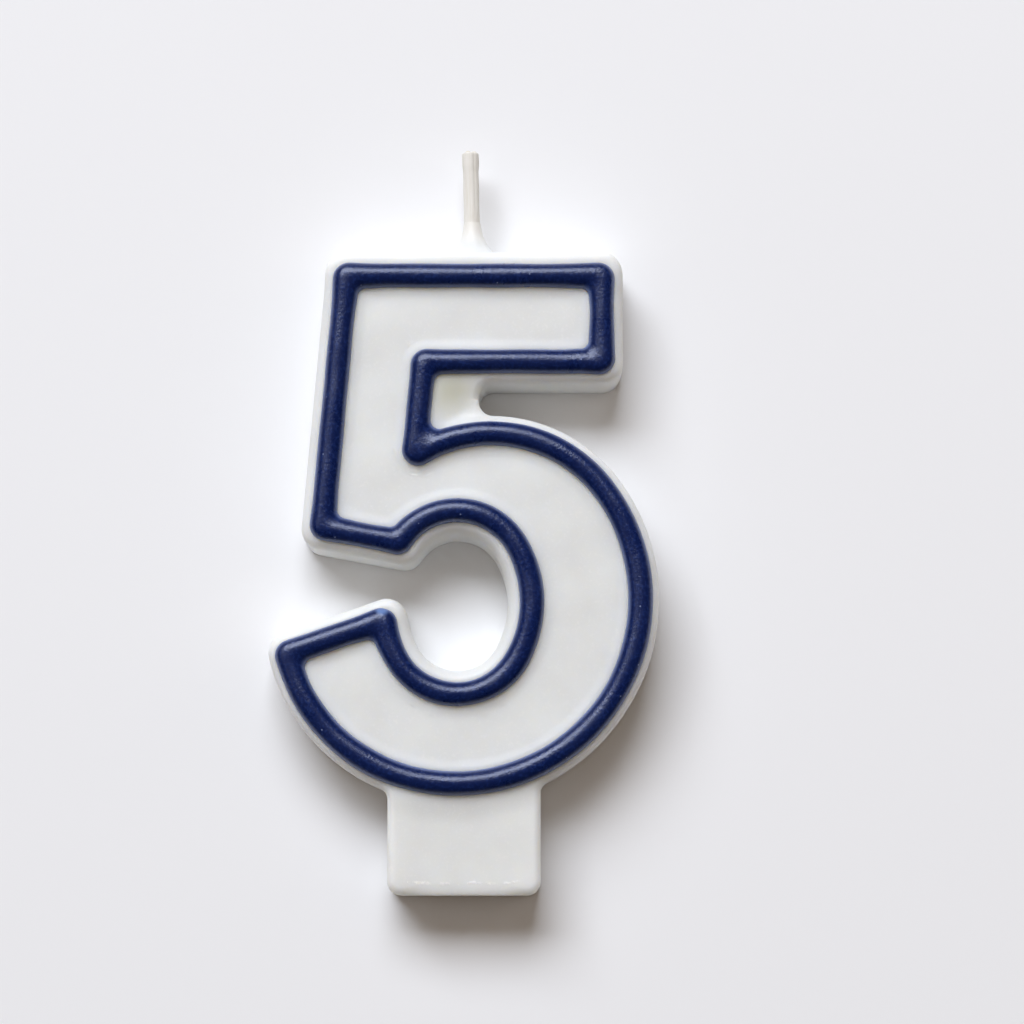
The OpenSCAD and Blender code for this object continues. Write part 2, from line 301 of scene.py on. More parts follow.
@dataclass(frozen=True)
class NavyWax:
    """Navy-dyed wax, run over the moulded rib while warm and left to set by itself.

    The eye gets a deep blue that turns to a soft, slightly milky sheen where light glances
    off it, broken up by a fine satin grain, and that turns a paler blue toward both feet.
    It has a few pale specks of undyed wax and a rubbed place on the outer corner of the hook.
    A field that ends in span holds the noise value at which an effect sets in and the one at
    which it is full, and one that ends in core holds the share of a spot's radius within
    which it is full.
    """

    name: str = "navy_dyed_wax_satin"
    deep_hex: str = "#05184A"
    ior: float = 1.45
    roughness: float = 0.3
    roughness_swing: tuple[float, float] = (-0.04, 0.05)
    roughness_span: tuple[float, float] = (0.3, 0.7)
    sheen_level: float = 0.8
    sheen_hex: str = "#E6ECFF"
    run_mm: float = 2.2
    run_rise_mm: float = 0.02
    grain_mm: float = 0.32
    grain_rise_mm: float = 0.045
    milky_hex: str = "#1E3470"
    milky_span: tuple[float, float] = (0.48, 0.78)
    speck_hex: str = "#8E9CC0"
    speck_gap_mm: float = 2.1
    speck_mm: float = 0.11
    speck_core: float = 0.4
    speck_share: float = 0.85
    rubbed_hex: str = "#6F8CC4"
    rubbed_at: tuple[float, float, float] = (-9.5, -5.0, 32.8)
    rubbed_mm: float = 1.0
    rubbed_core: float = 0.3
    rubbed_share: float = 0.85
    pale_foot_hex: str = "#6479B2"
    pale_foot_y: tuple[float, float] = (-5.2, -4.5)
    pale_foot_share: float = 0.75

    def material(self) -> bpy.types.Material:
        """Builds the shader: shades laid over the dyed wax one by one, grain over soft runs.

        Returns:
            The finished material.
        """
        material, tree = new_material(self.name)
        place = add(tree, "ShaderNodeTexCoord").outputs["Object"]
        depth = add(tree, "ShaderNodeSeparateXYZ", {"Vector": place}).outputs["Y"]
        runs = add(tree, "ShaderNodeTexNoise", {
            "Vector": place, "Scale": 1 / (self.run_mm * MM), "Detail": 2.0})
        grain = add(tree, "ShaderNodeTexNoise", {
            "Vector": place, "Scale": 1 / (self.grain_mm * MM), "Detail": 3.0,
            "Roughness": 0.6})
        milk = add(tree, "ShaderNodeMapRange", {
            "Value": grain.outputs["Fac"], "From Min": self.milky_span[0],
            "From Max": self.milky_span[1]})
        cells = add(tree, "ShaderNodeTexVoronoi", {
            "Vector": place, "Scale": 1 / (self.speck_gap_mm * MM)})
        # The cell distance counts in cells, so a speck's radius is divided by their spacing.
        reach = self.speck_mm / self.speck_gap_mm
        specks = add(tree, "ShaderNodeMapRange", {
            "Value": cells.outputs["Distance"], "From Min": reach,
            "From Max": self.speck_core * reach, "To Max": self.speck_share})
        away = add(tree, "ShaderNodeVectorMath", {
            0: place, 1: tuple(c * MM for c in self.rubbed_at)}, operation="DISTANCE")
        worn = add(tree, "ShaderNodeMapRange", {
            "Value": away.outputs["Value"], "From Min": self.rubbed_mm * MM,
            "From Max": self.rubbed_core * self.rubbed_mm * MM, "To Max": self.rubbed_share},
            interpolation_type="SMOOTHSTEP")
        # The coat turns a paler blue toward both feet, most at the feet and fading out about a
        # millimetre up its sides.
        thin = add(tree, "ShaderNodeMapRange", {
            "Value": depth, "From Min": self.pale_foot_y[0] * MM, "From Max": self.pale_foot_y[1] * MM,
            "To Max": self.pale_foot_share}, interpolation_type="SMOOTHSTEP")
        colour: bpy.types.NodeSocket | Sequence[float] = linear(self.deep_hex)
        for share, shade in ((milk, self.milky_hex), (specks, self.speck_hex),
                             (worn, self.rubbed_hex), (thin, self.pale_foot_hex)):
            colour = add(tree, "ShaderNodeMix", {
                "Factor": share.outputs["Result"], 6: colour, 7: linear(shade)},
                data_type="RGBA").outputs[2]
        relief: dict[str, bpy.types.NodeSocket] = {}
        for waves, rise in ((runs, self.run_rise_mm), (grain, self.grain_rise_mm)):
            bump = add(tree, "ShaderNodeBump", {
                "Height": waves.outputs["Fac"], "Distance": rise * MM, **relief})
            relief = {"Normal": bump.outputs["Normal"]}
        sheen = add(tree, "ShaderNodeMapRange", {
            "Value": runs.outputs["Fac"], "From Min": self.roughness_span[0],
            "From Max": self.roughness_span[1],
            "To Min": self.roughness + self.roughness_swing[0],
            "To Max": self.roughness + self.roughness_swing[1]})
        wax = add(tree, "ShaderNodeBsdfPrincipled", {
            "Base Color": colour, "Roughness": sheen.outputs["Result"], "IOR": self.ior,
            "Specular IOR Level": self.sheen_level, "Specular Tint": linear(self.sheen_hex),
            **relief})
        add(tree, "ShaderNodeOutputMaterial", {"Surface": wax.outputs["BSDF"]})
        return material


@dataclass(frozen=True)
class PrimedWick:
    """Hard priming wax drawn over the cotton before the wick is cut.

    The eye gets a dull off-white that is a shade warmer than the casting, with faint upright
    fibre lines that show through the thin wax.
    """

    name: str = "priming_wax_on_cotton"
    wax_hex: str = "#E6E3DC"
    fibre_hex: str = "#DFDBD1"
    ior: float = 1.43
    roughness: float = 0.5
    fibre_mm: float = 0.22
    fibre_long: float = 18.0
    fibre_span: tuple[float, float] = (0.45, 0.7)
    fibre_rise_mm: float = 0.005

    def material(self) -> bpy.types.Material:
        """Builds the shader: noise drawn out along Z for the fibres, in colour and relief.

        Returns:
            The finished material.
        """
        material, tree = new_material(self.name)
        place = add(tree, "ShaderNodeTexCoord").outputs["Object"]
        drawn = add(tree, "ShaderNodeMapping", {
            "Vector": place, "Scale": (1.0, 1.0, 1 / self.fibre_long)})
        fibres = add(tree, "ShaderNodeTexNoise", {
            "Vector": drawn.outputs["Vector"], "Scale": 1 / (self.fibre_mm * MM),
            "Detail": 2.0})
        share = add(tree, "ShaderNodeMapRange", {
            "Value": fibres.outputs["Fac"], "From Min": self.fibre_span[0],
            "From Max": self.fibre_span[1]})
        colour = add(tree, "ShaderNodeMix", {
            "Factor": share.outputs["Result"], 6: linear(self.wax_hex),
            7: linear(self.fibre_hex)}, data_type="RGBA")
        bump = add(tree, "ShaderNodeBump", {
            "Height": fibres.outputs["Fac"], "Distance": self.fibre_rise_mm * MM})
        wax = add(tree, "ShaderNodeBsdfPrincipled", {
            "Base Color": colour.outputs[2], "Roughness": self.roughness, "IOR": self.ior,
            "Normal": bump.outputs["Normal"]})
        add(tree, "ShaderNodeOutputMaterial", {"Surface": wax.outputs["BSDF"]})
        return material


@dataclass(frozen=True)
class TwistedCotton:
    """Bleached cotton yarn, twisted and soaked with wax.

    The eye gets a matt, slightly yellow white with short slanting fibres at the cut end.
    """

    name: str = "bleached_cotton_yarn"
    light_hex: str = "#EEEAE0"
    dark_hex: str = "#CFC8B8"
    roughness: float = 0.8
    fuzz: float = 0.2
    yarn_mm: float = 0.12
    yarn_long: float = 4.0
    yarn_slant: float = 25.0
    yarn_rise_mm: float = 0.02

    def material(self) -> bpy.types.Material:
        """Builds the shader: slanting bands of fibre across the ply, in colour and relief.

        Returns:
            The finished material.
        """
        material, tree = new_material(self.name)
        place = add(tree, "ShaderNodeTexCoord").outputs["Object"]
        slant = add(tree, "ShaderNodeMapping", {
            "Vector": place, "Rotation": (0.0, math.radians(self.yarn_slant), 0.0),
            "Scale": (1.0, 1.0, 1 / self.yarn_long)})
        fibres = add(tree, "ShaderNodeTexNoise", {
            "Vector": slant.outputs["Vector"], "Scale": 1 / (self.yarn_mm * MM), "Detail": 3.0})
        colour = add(tree, "ShaderNodeMix", {
            "Factor": fibres.outputs["Fac"], 6: linear(self.dark_hex),
            7: linear(self.light_hex)}, data_type="RGBA")
        bump = add(tree, "ShaderNodeBump", {
            "Height": fibres.outputs["Fac"], "Distance": self.yarn_rise_mm * MM})
        cotton = add(tree, "ShaderNodeBsdfPrincipled", {
            "Base Color": colour.outputs[2], "Roughness": self.roughness,
            "Sheen Weight": self.fuzz, "Normal": bump.outputs["Normal"]})
        add(tree, "ShaderNodeOutputMaterial", {"Surface": cotton.outputs["BSDF"]})
        return material


# ---- Meshes --------------------------------------------------------------------------------


@dataclass
class MeshDraft:
    """Points and faces gathered patch by patch and written as one mesh."""

    points: list[np.ndarray] = field(default_factory=list)
    faces: list[np.ndarray] = field(default_factory=list)
    count: int = 0

    def add_points(self, points: np.ndarray) -> np.ndarray:
        """Keeps points and numbers them.

        Args:
            points: Array whose last axis is X, Y, Z in millimetres.

        Returns:
            Their numbers, in the shape of the array without its last axis.
        """
        flat = np.asarray(points, float).reshape(-1, 3)
        first = self.count
        self.points.append(flat)
        self.count += len(flat)
        return np.arange(first, self.count).reshape(points.shape[:-1])

    def add_faces(self, faces: np.ndarray) -> None:
        """Keeps triangles or quads, an array of point numbers with 3 or 4 columns."""
        self.faces.append(np.asarray(faces, np.int64))

    def add_grid(self, grid: np.ndarray, flip: bool = False) -> None:
        """Joins rings of equally many points, each to the next one, by quads.

        Args:
            grid: Point numbers, a row for each ring.
            flip: Whether the faces are turned over.
        """
        for first, second in zip(grid[:-1], grid[1:]):
            quads = np.stack([first, second, np.roll(second, -1), np.roll(first, -1)], 1)
            self.add_faces(quads[:, ::-1] if flip else quads)

    def add_fan(self, ring: np.ndarray, tip: int, flip: bool = False) -> None:
        """Closes a ring with triangles that meet in one point.

        Args:
            ring: Point numbers round the ring.
            tip: Number of the point in its middle.
            flip: Whether the faces are turned over.
        """
        fan = np.stack([ring, np.full(len(ring), tip), np.roll(ring, -1)], 1)
        self.add_faces(fan[:, ::-1] if flip else fan)

    def write(self, name: str, material: bpy.types.Material) -> bpy.types.Object:
        """Writes the mesh in metres, smooth-shaded, with its faces turned outward.

        Args:
            name: Name of the piece.
            material: Its finish.

        Returns:
            The new object, linked to the scene.
        """
        points = np.concatenate(self.points) * MM
        corners = np.concatenate([f.ravel() for f in self.faces])
        sizes = np.concatenate([np.full(len(f), f.shape[1]) for f in self.faces])
        if enclosed_volume(points, self.faces) < 0:
            corners = np.concatenate([f[:, ::-1].ravel() for f in self.faces])
        mesh = bpy.data.meshes.new(name)
        mesh.vertices.add(len(points))
        mesh.vertices.foreach_set("co", points.ravel())
        mesh.loops.add(len(corners))
        mesh.loops.foreach_set("vertex_index", corners.astype(np.int32))
        mesh.polygons.add(len(sizes))
        starts = np.concatenate([[0], np.cumsum(sizes)[:-1]])
        mesh.polygons.foreach_set("loop_start", starts.astype(np.int32))
        mesh.polygons.foreach_set("use_smooth", np.ones(len(sizes), bool))
        mesh.update(calc_edges=True)
        mesh.validate()
        mesh.materials.append(material)
        piece = bpy.data.objects.new(name, mesh)
        bpy.context.scene.collection.objects.link(piece)
        return piece


def enclosed_volume(points: np.ndarray, faces: Iterable[np.ndarray]) -> float:
    """Volume inside a closed mesh, by adding up signed tetrahedra to the origin.

    Args:
        points: Corner points.
        faces: Arrays of triangles or quads.

    Returns:
        The volume, negative where the faces point inward.
    """
    total = 0.0
    for group in faces:
        for k in range(1, group.shape[1] - 1):
            a, b, c = points[group[:, 0]], points[group[:, k]], points[group[:, k + 1]]
            total += float(np.einsum("ij,ij->i", a, np.cross(b, c)).sum()) / 6
    return total


def inside(points: np.ndarray, ring: np.ndarray) -> np.ndarray:
    """Tests which points of a plane lie inside a closed ring.

    A point is inside where a ray from it to the right crosses the ring an odd number of times.

    Args:
        points: Array of plane points.
        ring: Corners of the ring in order.

    Returns:
        One truth value for each point.
    """
    a, b = ring, np.roll(ring, -1, axis=0)
    odd = np.zeros(len(points), bool)
    for part in np.array_split(np.arange(len(points)), max(1, len(points) // BATCH)):
        x, y = points[part, 0][:, None], points[part, 1][:, None]
        spans = (a[:, 1] > y) != (b[:, 1] > y)
        rise = np.where(b[:, 1] == a[:, 1], 1.0, b[:, 1] - a[:, 1])
        cross = a[:, 0] + (y - a[:, 1]) / rise * (b[:, 0] - a[:, 0])
        odd[part] = (spans & (x < cross)).sum(axis=1) % 2 == 1
    return odd


def clear_of(points: np.ndarray, others: np.ndarray, gap: float) -> np.ndarray:
    """Tests which points of a plane keep a distance from all of some others.

    Args:
        points: Plane points to test.
        others: Plane points to stay away from.
        gap: Least distance.

    Returns:
        One truth value for each point.
    """
    keep = np.ones(len(points), bool)
    for part in np.array_split(others, max(1, len(others) // BATCH)):
        away = ((points[:, None] - part[None]) ** 2).sum(axis=2)
        keep &= away.min(axis=1) > gap ** 2
    return keep


def triangulate(rings: Sequence[np.ndarray], loose: np.ndarray) -> np.ndarray:
    """Fills a plane region with triangles that keep every ring's edges.

    Args:
        rings: Closed rings of plane points, the outer one first.
        loose: Further points between them.

    Returns:
        Triangles inside the outer ring, numbered through the rings and then the loose
        points, anticlockwise.
    """
    points = np.concatenate([*rings, loose])
    edges: list[np.ndarray] = []
    first = 0
    for ring in rings:
        at = np.arange(first, first + len(ring))
        edges.append(np.stack([at, np.roll(at, -1)], 1))
        first += len(ring)
    made = delaunay_2d_cdt(
        [Vector(p) for p in points.tolist()], np.concatenate(edges).tolist(), [], 0, SAME)
    came_from = np.array([origin[0] if origin else -1 for origin in made[3]])
    if (came_from < 0).any() or len(came_from) != len(points):
        raise ValueError("rings of the patch touch or cross")
    triangles = came_from[np.array(made[2])]
    middle = points[triangles].mean(axis=1)
    return triangles[inside(middle, rings[0])]


# ---- Strokes of the numeral ------------------------------------------------------------------


class Turn(Enum):
    """Which way a round leg bends."""

    LEFT = 1.0
    RIGHT = -1.0


def unit(angle: float) -> np.ndarray:
    """Unit vector at an angle in degrees."""
    return np.array([math.cos(math.radians(angle)), math.sin(math.radians(angle))])


def angle_of(vector: np.ndarray) -> float:
    """Angle of a vector in degrees."""
    return math.degrees(math.atan2(vector[1], vector[0]))


@dataclass(frozen=True)
class Straight:
    """Straight leg of a path: a line through a point.

    Fields are the point, the heading in degrees, the place near which the leg ends, and the
    radius of that end corner, 0 for a smooth passage.
    """

    point: np.ndarray
    heading: float
    corner: np.ndarray
    corner_r: float

    def moved(self, d: float) -> "Straight":
        """The leg moved by d to its right."""
        return replace(self, point=self.point + d * unit(self.heading - 90))

    def heading_at(self, _: np.ndarray) -> float:
        """Heading of the leg, which is the same everywhere."""
        return self.heading

    def length(self, start: np.ndarray, end: np.ndarray) -> float:
        """Length of the leg between two of its points."""
        return float(np.linalg.norm(end - start))

    def foot(self, at: np.ndarray) -> np.ndarray:
        """Point of the line that is nearest to a given point."""
        along = unit(self.heading)
        return self.point + np.dot(at - self.point, along) * along

    def run(self, start: np.ndarray, end: np.ndarray, steps: int) -> np.ndarray:
        """Evenly spaced points from one point of the leg to another.

        Args:
            start: First point.
            end: Last point.
            steps: Number of spaces between the points.

        Returns:
            Array of steps + 1 plane points.
        """
        return start + (end - start) * np.linspace(0, 1, steps + 1)[:, None]


@dataclass(frozen=True)
class Round:
    """Round leg of a path: an arc of a circle.

    Fields are the centre, the radius, the way it turns, the place near which the leg ends,
    and the radius of that end corner, 0 for a smooth passage.
    """

    centre: np.ndarray
    radius: float
    turn: Turn
    corner: np.ndarray
    corner_r: float

    def moved(self, d: float) -> "Round":
        """The leg moved by d to its right."""
        return replace(self, radius=self.radius + self.turn.value * d)

    def heading_at(self, at: np.ndarray) -> float:
        """Heading of the arc at one of its points."""
        return angle_of(at - self.centre) + 90 * self.turn.value

    def sweep(self, start: np.ndarray, end: np.ndarray) -> float:
        """Angle from one of its points to another, in degrees, with the sign of its turn."""
        way = self.turn.value
        turned = angle_of(end - self.centre) - angle_of(start - self.centre)
        return way * ((way * turned) % 360)

    def length(self, start: np.ndarray, end: np.ndarray) -> float:
        """Length of the leg between two of its points."""
        return abs(math.radians(self.sweep(start, end))) * self.radius

    def foot(self, at: np.ndarray) -> np.ndarray:
        """Point of the circle that is nearest to a given point."""
        return self.centre + self.radius * unit(angle_of(at - self.centre))

    def run(self, start: np.ndarray, end: np.ndarray, steps: int) -> np.ndarray:
        """Evenly spaced points from one point of the leg to another.

        Args:
            start: First point.
            end: Last point.
            steps: Number of spaces between the points.

        Returns:
            Array of steps + 1 plane points.
        """
        first = angle_of(start - self.centre)
        angles = np.radians(first + self.sweep(start, end) * np.linspace(0, 1, steps + 1))
        return self.centre + self.radius * np.stack([np.cos(angles), np.sin(angles)], 1)


Leg = Straight | Round


def meet(a: Leg, b: Leg, near: np.ndarray) -> np.ndarray:
    """Point where one leg passes into the next.

    Two lines cross; a line crosses an arc at the crossing nearer to a known place; two arcs
    touch on the line through their centres, beyond the smaller one's centre.

    Args:
        a: Leg that ends there.
        b: Leg that starts there.
        near: Known place near the crossing.

    Returns:
        The plane point.
    """
    if isinstance(a, Straight) and isinstance(b, Straight):
        u, w, gap = unit(a.heading), unit(b.heading), b.point - a.point
        return a.point + (gap[0] * w[1] - gap[1] * w[0]) / (u[0] * w[1] - u[1] * w[0]) * u
    if isinstance(a, Round) and isinstance(b, Round):
        small, large = (a, b) if a.radius < b.radius else (b, a)
        v = small.centre - large.centre
        return small.centre + small.radius * v / np.linalg.norm(v)
    line, arc = (a, b) if isinstance(a, Straight) else (b, a)
    u = unit(line.heading)
    foot = line.foot(arc.centre)
    reach = math.sqrt(arc.radius ** 2 - float(np.sum((arc.centre - foot) ** 2))) * u
    return min((foot + reach, foot - reach), key=lambda p: float(np.sum((p - near) ** 2)))


@dataclass
class StrokePath:
    """Closed path of legs that can be moved sideways as a whole.

    Every moved copy has the same number of points, and equal numbers lie side by side, so
    copies are rows of one grid.  The field steps holds the number of spaces on each leg,
    and the field first the number of each leg's first point.
    """

    legs: list[Leg]
    spacing: float
    least_r: float = 0.5
    corner_steps: int = 8
    steps: list[int] = field(init=False)
    first: np.ndarray = field(init=False)

    def __post_init__(self) -> None:
        """Settles the number of spaces on each leg and where each leg's points start."""
        ends = self._corners(self.legs)
        self.steps = [
            max(2, round(leg.length(ends[i - 1], ends[i]) / self.spacing))
            for i, leg in enumerate(self.legs)]
        sizes = [
            s + (0 if leg.corner_r == 0 else self.corner_steps)
            for s, leg in zip(self.steps, self.legs)]
        self.first = np.concatenate([[0], np.cumsum(sizes)])

    def _corners(self, legs: Sequence[Leg]) -> list[np.ndarray]:
        """Sharp corners after each of the legs."""
        return [meet(leg, legs[(i + 1) % len(legs)], leg.corner)
                for i, leg in enumerate(legs)]

    def ring(self, d: float = 0.0, least_r: float | None = None) -> np.ndarray:
        """Points of the path moved outward by d.

        A corner keeps its radius plus or minus d, and never less than the least radius.  Its
        rounding is the circle of that radius that touches both legs: the circle's middle is
        where both legs cross when they are moved by the radius toward the inside of the turn.

        Args:
            d: Distance outward, negative for inward.
            least_r: Least radius of a corner, the path's own if not given.

        Returns:
            Array of plane points.
        """
        least = self.least_r if least_r is None else least_r
        n = len(self.legs)
        legs = [leg.moved(d) for leg in self.legs]
        corners = self._corners(legs)
        starts, ends, bends = list(corners), list(corners), {}
        for i, corner in enumerate(corners):
            if legs[i].corner_r == 0:
                continue
            a, b = legs[i], legs[(i + 1) % n]
            turn = (b.heading_at(corner) - a.heading_at(corner) + 180) % 360 - 180
            way = math.copysign(1.0, turn)
            r = max(least, a.corner_r + way * d)
            middle = meet(a.moved(-way * r), b.moved(-way * r), corner)
            ends[i], starts[i] = a.foot(middle), b.foot(middle)
            arc = Round(middle, r, Turn(way), corner, 0.0)
            bends[i] = arc.run(ends[i], starts[i], self.corner_steps)[1:-1]
        rows: list[np.ndarray] = []
        for i, leg in enumerate(legs):
            run = leg.run(starts[i - 1], ends[i], self.steps[i])
            rows += [run, bends[i]] if i in bends else [run[:-1]]
        return np.concatenate(rows)

    def leg_numbers(self, leg: int) -> np.ndarray:
        """Numbers of the points on the straight or round part of one leg."""
        return np.arange(self.first[leg], self.first[leg] + self.steps[leg] + 1)


def outward(ring: np.ndarray) -> np.ndarray:
    """Unit vectors to the right of a closed ring, from the chord between both neighbours."""
    along = np.roll(ring, -1, axis=0) - np.roll(ring, 1, axis=0)
    along /= np.linalg.norm(along, axis=1)[:, None]
    return np.stack([along[:, 1], -along[:, 0]], 1)


def upright(ring: np.ndarray, y: float | np.ndarray) -> np.ndarray:
    """Stands plane points upright at depth y, as X, Y, Z."""
    return np.stack([ring[:, 0], np.broadcast_to(y, len(ring)), ring[:, 1]], 1)


def smoothstep(low: float, high: float, value: float | np.ndarray) -> np.ndarray:
    """Soft step from 0 at low to 1 at high, by the cubic 3t^2 - 2t^3."""
    t = np.clip((value - low) / (high - low), 0, 1)
    return t * t * (3 - 2 * t)


@dataclass(frozen=True)
class Numeral:
    """Sizes of the digit, drawn by the middle line of its raised navy outline.

    Fields that end in at are directions in degrees from an arc's middle to the place near
    which it meets the next leg.
    """

    depth: float = 8.5
    top_z: float = 72.2
    bar_h: float = 10.2
    bar_right: float = 16.05
    stem_left: float = 13.9
    stem_lean: float = 5.0
    stem_inner: float = 4.8
    inner_lean: float = 5.5
    stem_foot_z: float = 42.5
    stem_foot_fall: float = 10.8
    bowl_left: float = 0.95
    bowl_z: float = 34.2
    bowl_r: float = 21.4
    crown_r: float = 16.4
    crown_from: float = 35.8
    armpit_at: float = 123.0
    heel_r: float = 19.5
    heel_from: float = 251.5
    heel_at: float = 194.0
    counter_left: float = 0.85
    counter_z: float = 33.8
    counter_a: float = 8.7
    counter_b: float = 10.7
    counter_side_r: float = 13.5
    counter_at: float = 148.0
    hook_tip_z: float = 31.6
    hook_slope: float = 19.1
    rim_bar: float = 1.08
    rim_top: float = 1.38
    rim_bowl: float = 0.775
    rim_counter: float = 1.38
    rim_corner_r: float = 2.4
    web_end: float = 1.65
    web_r: float = 1.72
    half_line: float = 1.425
    line_corner_r: float = 0.4
    peg_w: float = 17.7
    peg_corner_r: float = 1.6
    peg_fillet_r: float = 1.5

    @property
    def body_top(self) -> float:
        """Height of the casting's top edge."""
        return self.top_z + self.half_line + self.rim_top

    @property
    def under_z(self) -> float:
        """Height of the top bar's lower line."""
        return self.top_z - self.bar_h

    @property
    def bowl(self) -> np.ndarray:
        """Middle of the bowl's right side."""
        return np.array([-self.bowl_left, self.bowl_z])

    @property
    def crown(self) -> np.ndarray:
        """Middle of the bowl's crown."""
        return self.bowl + (self.bowl_r - self.crown_r) * unit(self.crown_from)

    @property
    def heel(self) -> np.ndarray:
        """Middle of the bowl's lower left side."""
        return self.bowl + (self.bowl_r - self.heel_r) * unit(self.heel_from)

    def counter_legs(self, d: float, r: float) -> list[Leg]:
        """Legs of the oval counter, from the stem's underside round to the hook's end.

        The oval is four arcs that touch; the end radius follows from both half axes and the
        side radius.

        Args:
            d: Distance outward from the middle line.
            r: Radius of the corner at the hook's end.

        Returns:
            Four round legs.
        """
        a, b, side = self.counter_a, self.counter_b, self.counter_side_r
        end = (2 * side * a - a * a - b * b) / (2 * (side - b))
        middle = np.array([-self.counter_left, self.counter_z])
        rise, reach = np.array([0, b - end]), np.array([side - a, 0])
        tip = np.array([middle[0] - a, self.hook_tip_z])
        arcs = ((middle + rise, end, middle, 0.0), (middle - reach, side, middle, 0.0),
                (middle - rise, end, middle, 0.0), (middle + reach, side, tip, r))
        return [Round(c, radius, Turn.RIGHT, near, corner_r).moved(d)
                for c, radius, near, corner_r in arcs]

    def stem_legs(self, d: float, r: float) -> list[Leg]:
        """The stem's left side and underside, moved outward by d, with corners of radius r."""
        foot = np.array([
            -self.stem_left
            - (self.top_z - self.stem_foot_z) * math.tan(math.radians(self.stem_lean)),
            self.stem_foot_z])
        end = self.counter_legs(0, 0)[0]
        hook = end.centre + end.radius * unit(self.counter_at)
        start = np.array([-self.stem_left, self.top_z])
        return [Straight(start, 270 - self.stem_lean, foot, r).moved(d),
                Straight(foot, -self.stem_foot_fall, hook, r).moved(d)]

    def bar_legs(self, d: float, d_top: float, r: float) -> list[Leg]:
        """The top bar's underside, end and top, moved outward by d and d_top."""
        low, high = (np.array([self.bar_right, z]) for z in (self.under_z, self.top_z))
        return [Straight(np.array([-self.stem_inner, self.under_z]), 0, low, r).moved(d),
                Straight(low, 90, high, r).moved(d),
                Straight(high, 180, np.array([-self.stem_left, self.top_z]), r).moved(d_top)]

    def hook_leg(self, d: float, r: float) -> Leg:
        """The hook's end, from the counter to the bowl's lower left side."""
        tip = self.counter_legs(0, 0)[-1].corner
        end = self.heel + self.heel_r * unit(self.heel_at)
        return Straight(tip, 180 + self.hook_slope, end, r).moved(d)

    def line_path(self, spacing: float, corner_steps: int = 8) -> StrokePath:
        """Middle line of the navy outline, anticlockwise from the top left corner.

        Args:
            spacing: Distance between its points.
            corner_steps: Number of spaces round each corner.

        Returns:
            The path.
        """
        r = self.line_corner_r
        armpit = self.crown + self.crown_r * unit(self.armpit_at)
        inner_top = np.array([-self.stem_inner, self.under_z])
        legs = [
            *self.stem_legs(0, r), *self.counter_legs(0, r), self.hook_leg(0, r),
            Round(self.heel, self.heel_r, Turn.LEFT, self.heel, 0.0),
            Round(self.bowl, self.bowl_r, Turn.LEFT, self.bowl, 0.0),
            Round(self.crown, self.crown_r, Turn.LEFT, armpit, r),
            Straight(inner_top, 90 - self.inner_lean, inner_top, r),
            *self.bar_legs(0, 0, r)]
        return StrokePath(legs, spacing, corner_steps=corner_steps)

    def casting_path(self, spacing: float) -> StrokePath:
        """Edge of the wax casting: the strokes moved out by their rims, with peg and web.

        Args:
            spacing: Distance between its points.

        Returns:
            The path, whose last leg is the top edge.
        """
        r, bar = self.rim_corner_r, self.half_line + self.rim_bar
        bowl_rim, half = self.half_line + self.rim_bowl, self.peg_w / 2
        peg_top = self.bowl_z - self.bowl_r + self.half_line
        peg_left, peg_right = np.array([-half, peg_top]), np.array([half, peg_top])
        web = np.array([self.web_end, self.crown[1] + self.crown_r])
        legs = [
            *self.stem_legs(bar, r),
            *self.counter_legs(self.half_line + self.rim_counter, r), self.hook_leg(bar, r),
            Round(self.heel, self.heel_r, Turn.LEFT, peg_left,
                  self.peg_fillet_r).moved(bowl_rim),
            Straight(peg_left, 270, np.array([-half, 0.0]), self.peg_corner_r),
            Straight(np.zeros(2), 0, np.array([half, 0.0]), self.peg_corner_r),
            Straight(peg_right, 90, peg_right, self.peg_fillet_r),
            Round(self.bowl, self.bowl_r, Turn.LEFT, self.bowl, 0.0).moved(bowl_rim),
            Round(self.crown, self.crown_r, Turn.LEFT, web, self.web_r).moved(bowl_rim),
            Straight(web, 90, web, self.web_r),
            *self.bar_legs(bar, self.half_line + self.rim_top, r)]
        return StrokePath(legs, spacing)


@dataclass(frozen=True)
class Ripple:
    """Slow waves of a wax surface, the sum of sines in fixed directions.

    Fields are the height of the waves, their shortest and longest length, their number and
    a seed.
    """

    rise: float = 0.03
    shortest: float = 7.0
    longest: float = 20.0
    waves: int = 7
    seed: int = 5

    def height(self, x: np.ndarray, z: np.ndarray) -> np.ndarray:
        """Height of the ripple: each wave is the sine of its phase along its own direction.

        Args:
            x: Places across.
            z: Places up.

        Returns:
            Heights between about -rise and rise.
        """
        rng = np.random.default_rng(self.seed)
        way = rng.uniform(0, 2 * np.pi, self.waves)
        length = rng.uniform(self.shortest, self.longest, self.waves)
        phase = rng.uniform(0, 2 * np.pi, self.waves)
        along = np.multiply.outer(x, np.cos(way)) + np.multiply.outer(z, np.sin(way))
        waves = np.sin(2 * np.pi * along / length + phase)
        return self.rise * waves.sum(axis=-1) / math.sqrt(self.waves)


# ---- Wick ------------------------------------------------------------------------------------


@dataclass(frozen=True)
class Groove:
    """Shallow groove down the wick: depth, angle at its foot, turn with height, width."""

    depth: float
    at: float
    turn: float
    width: float


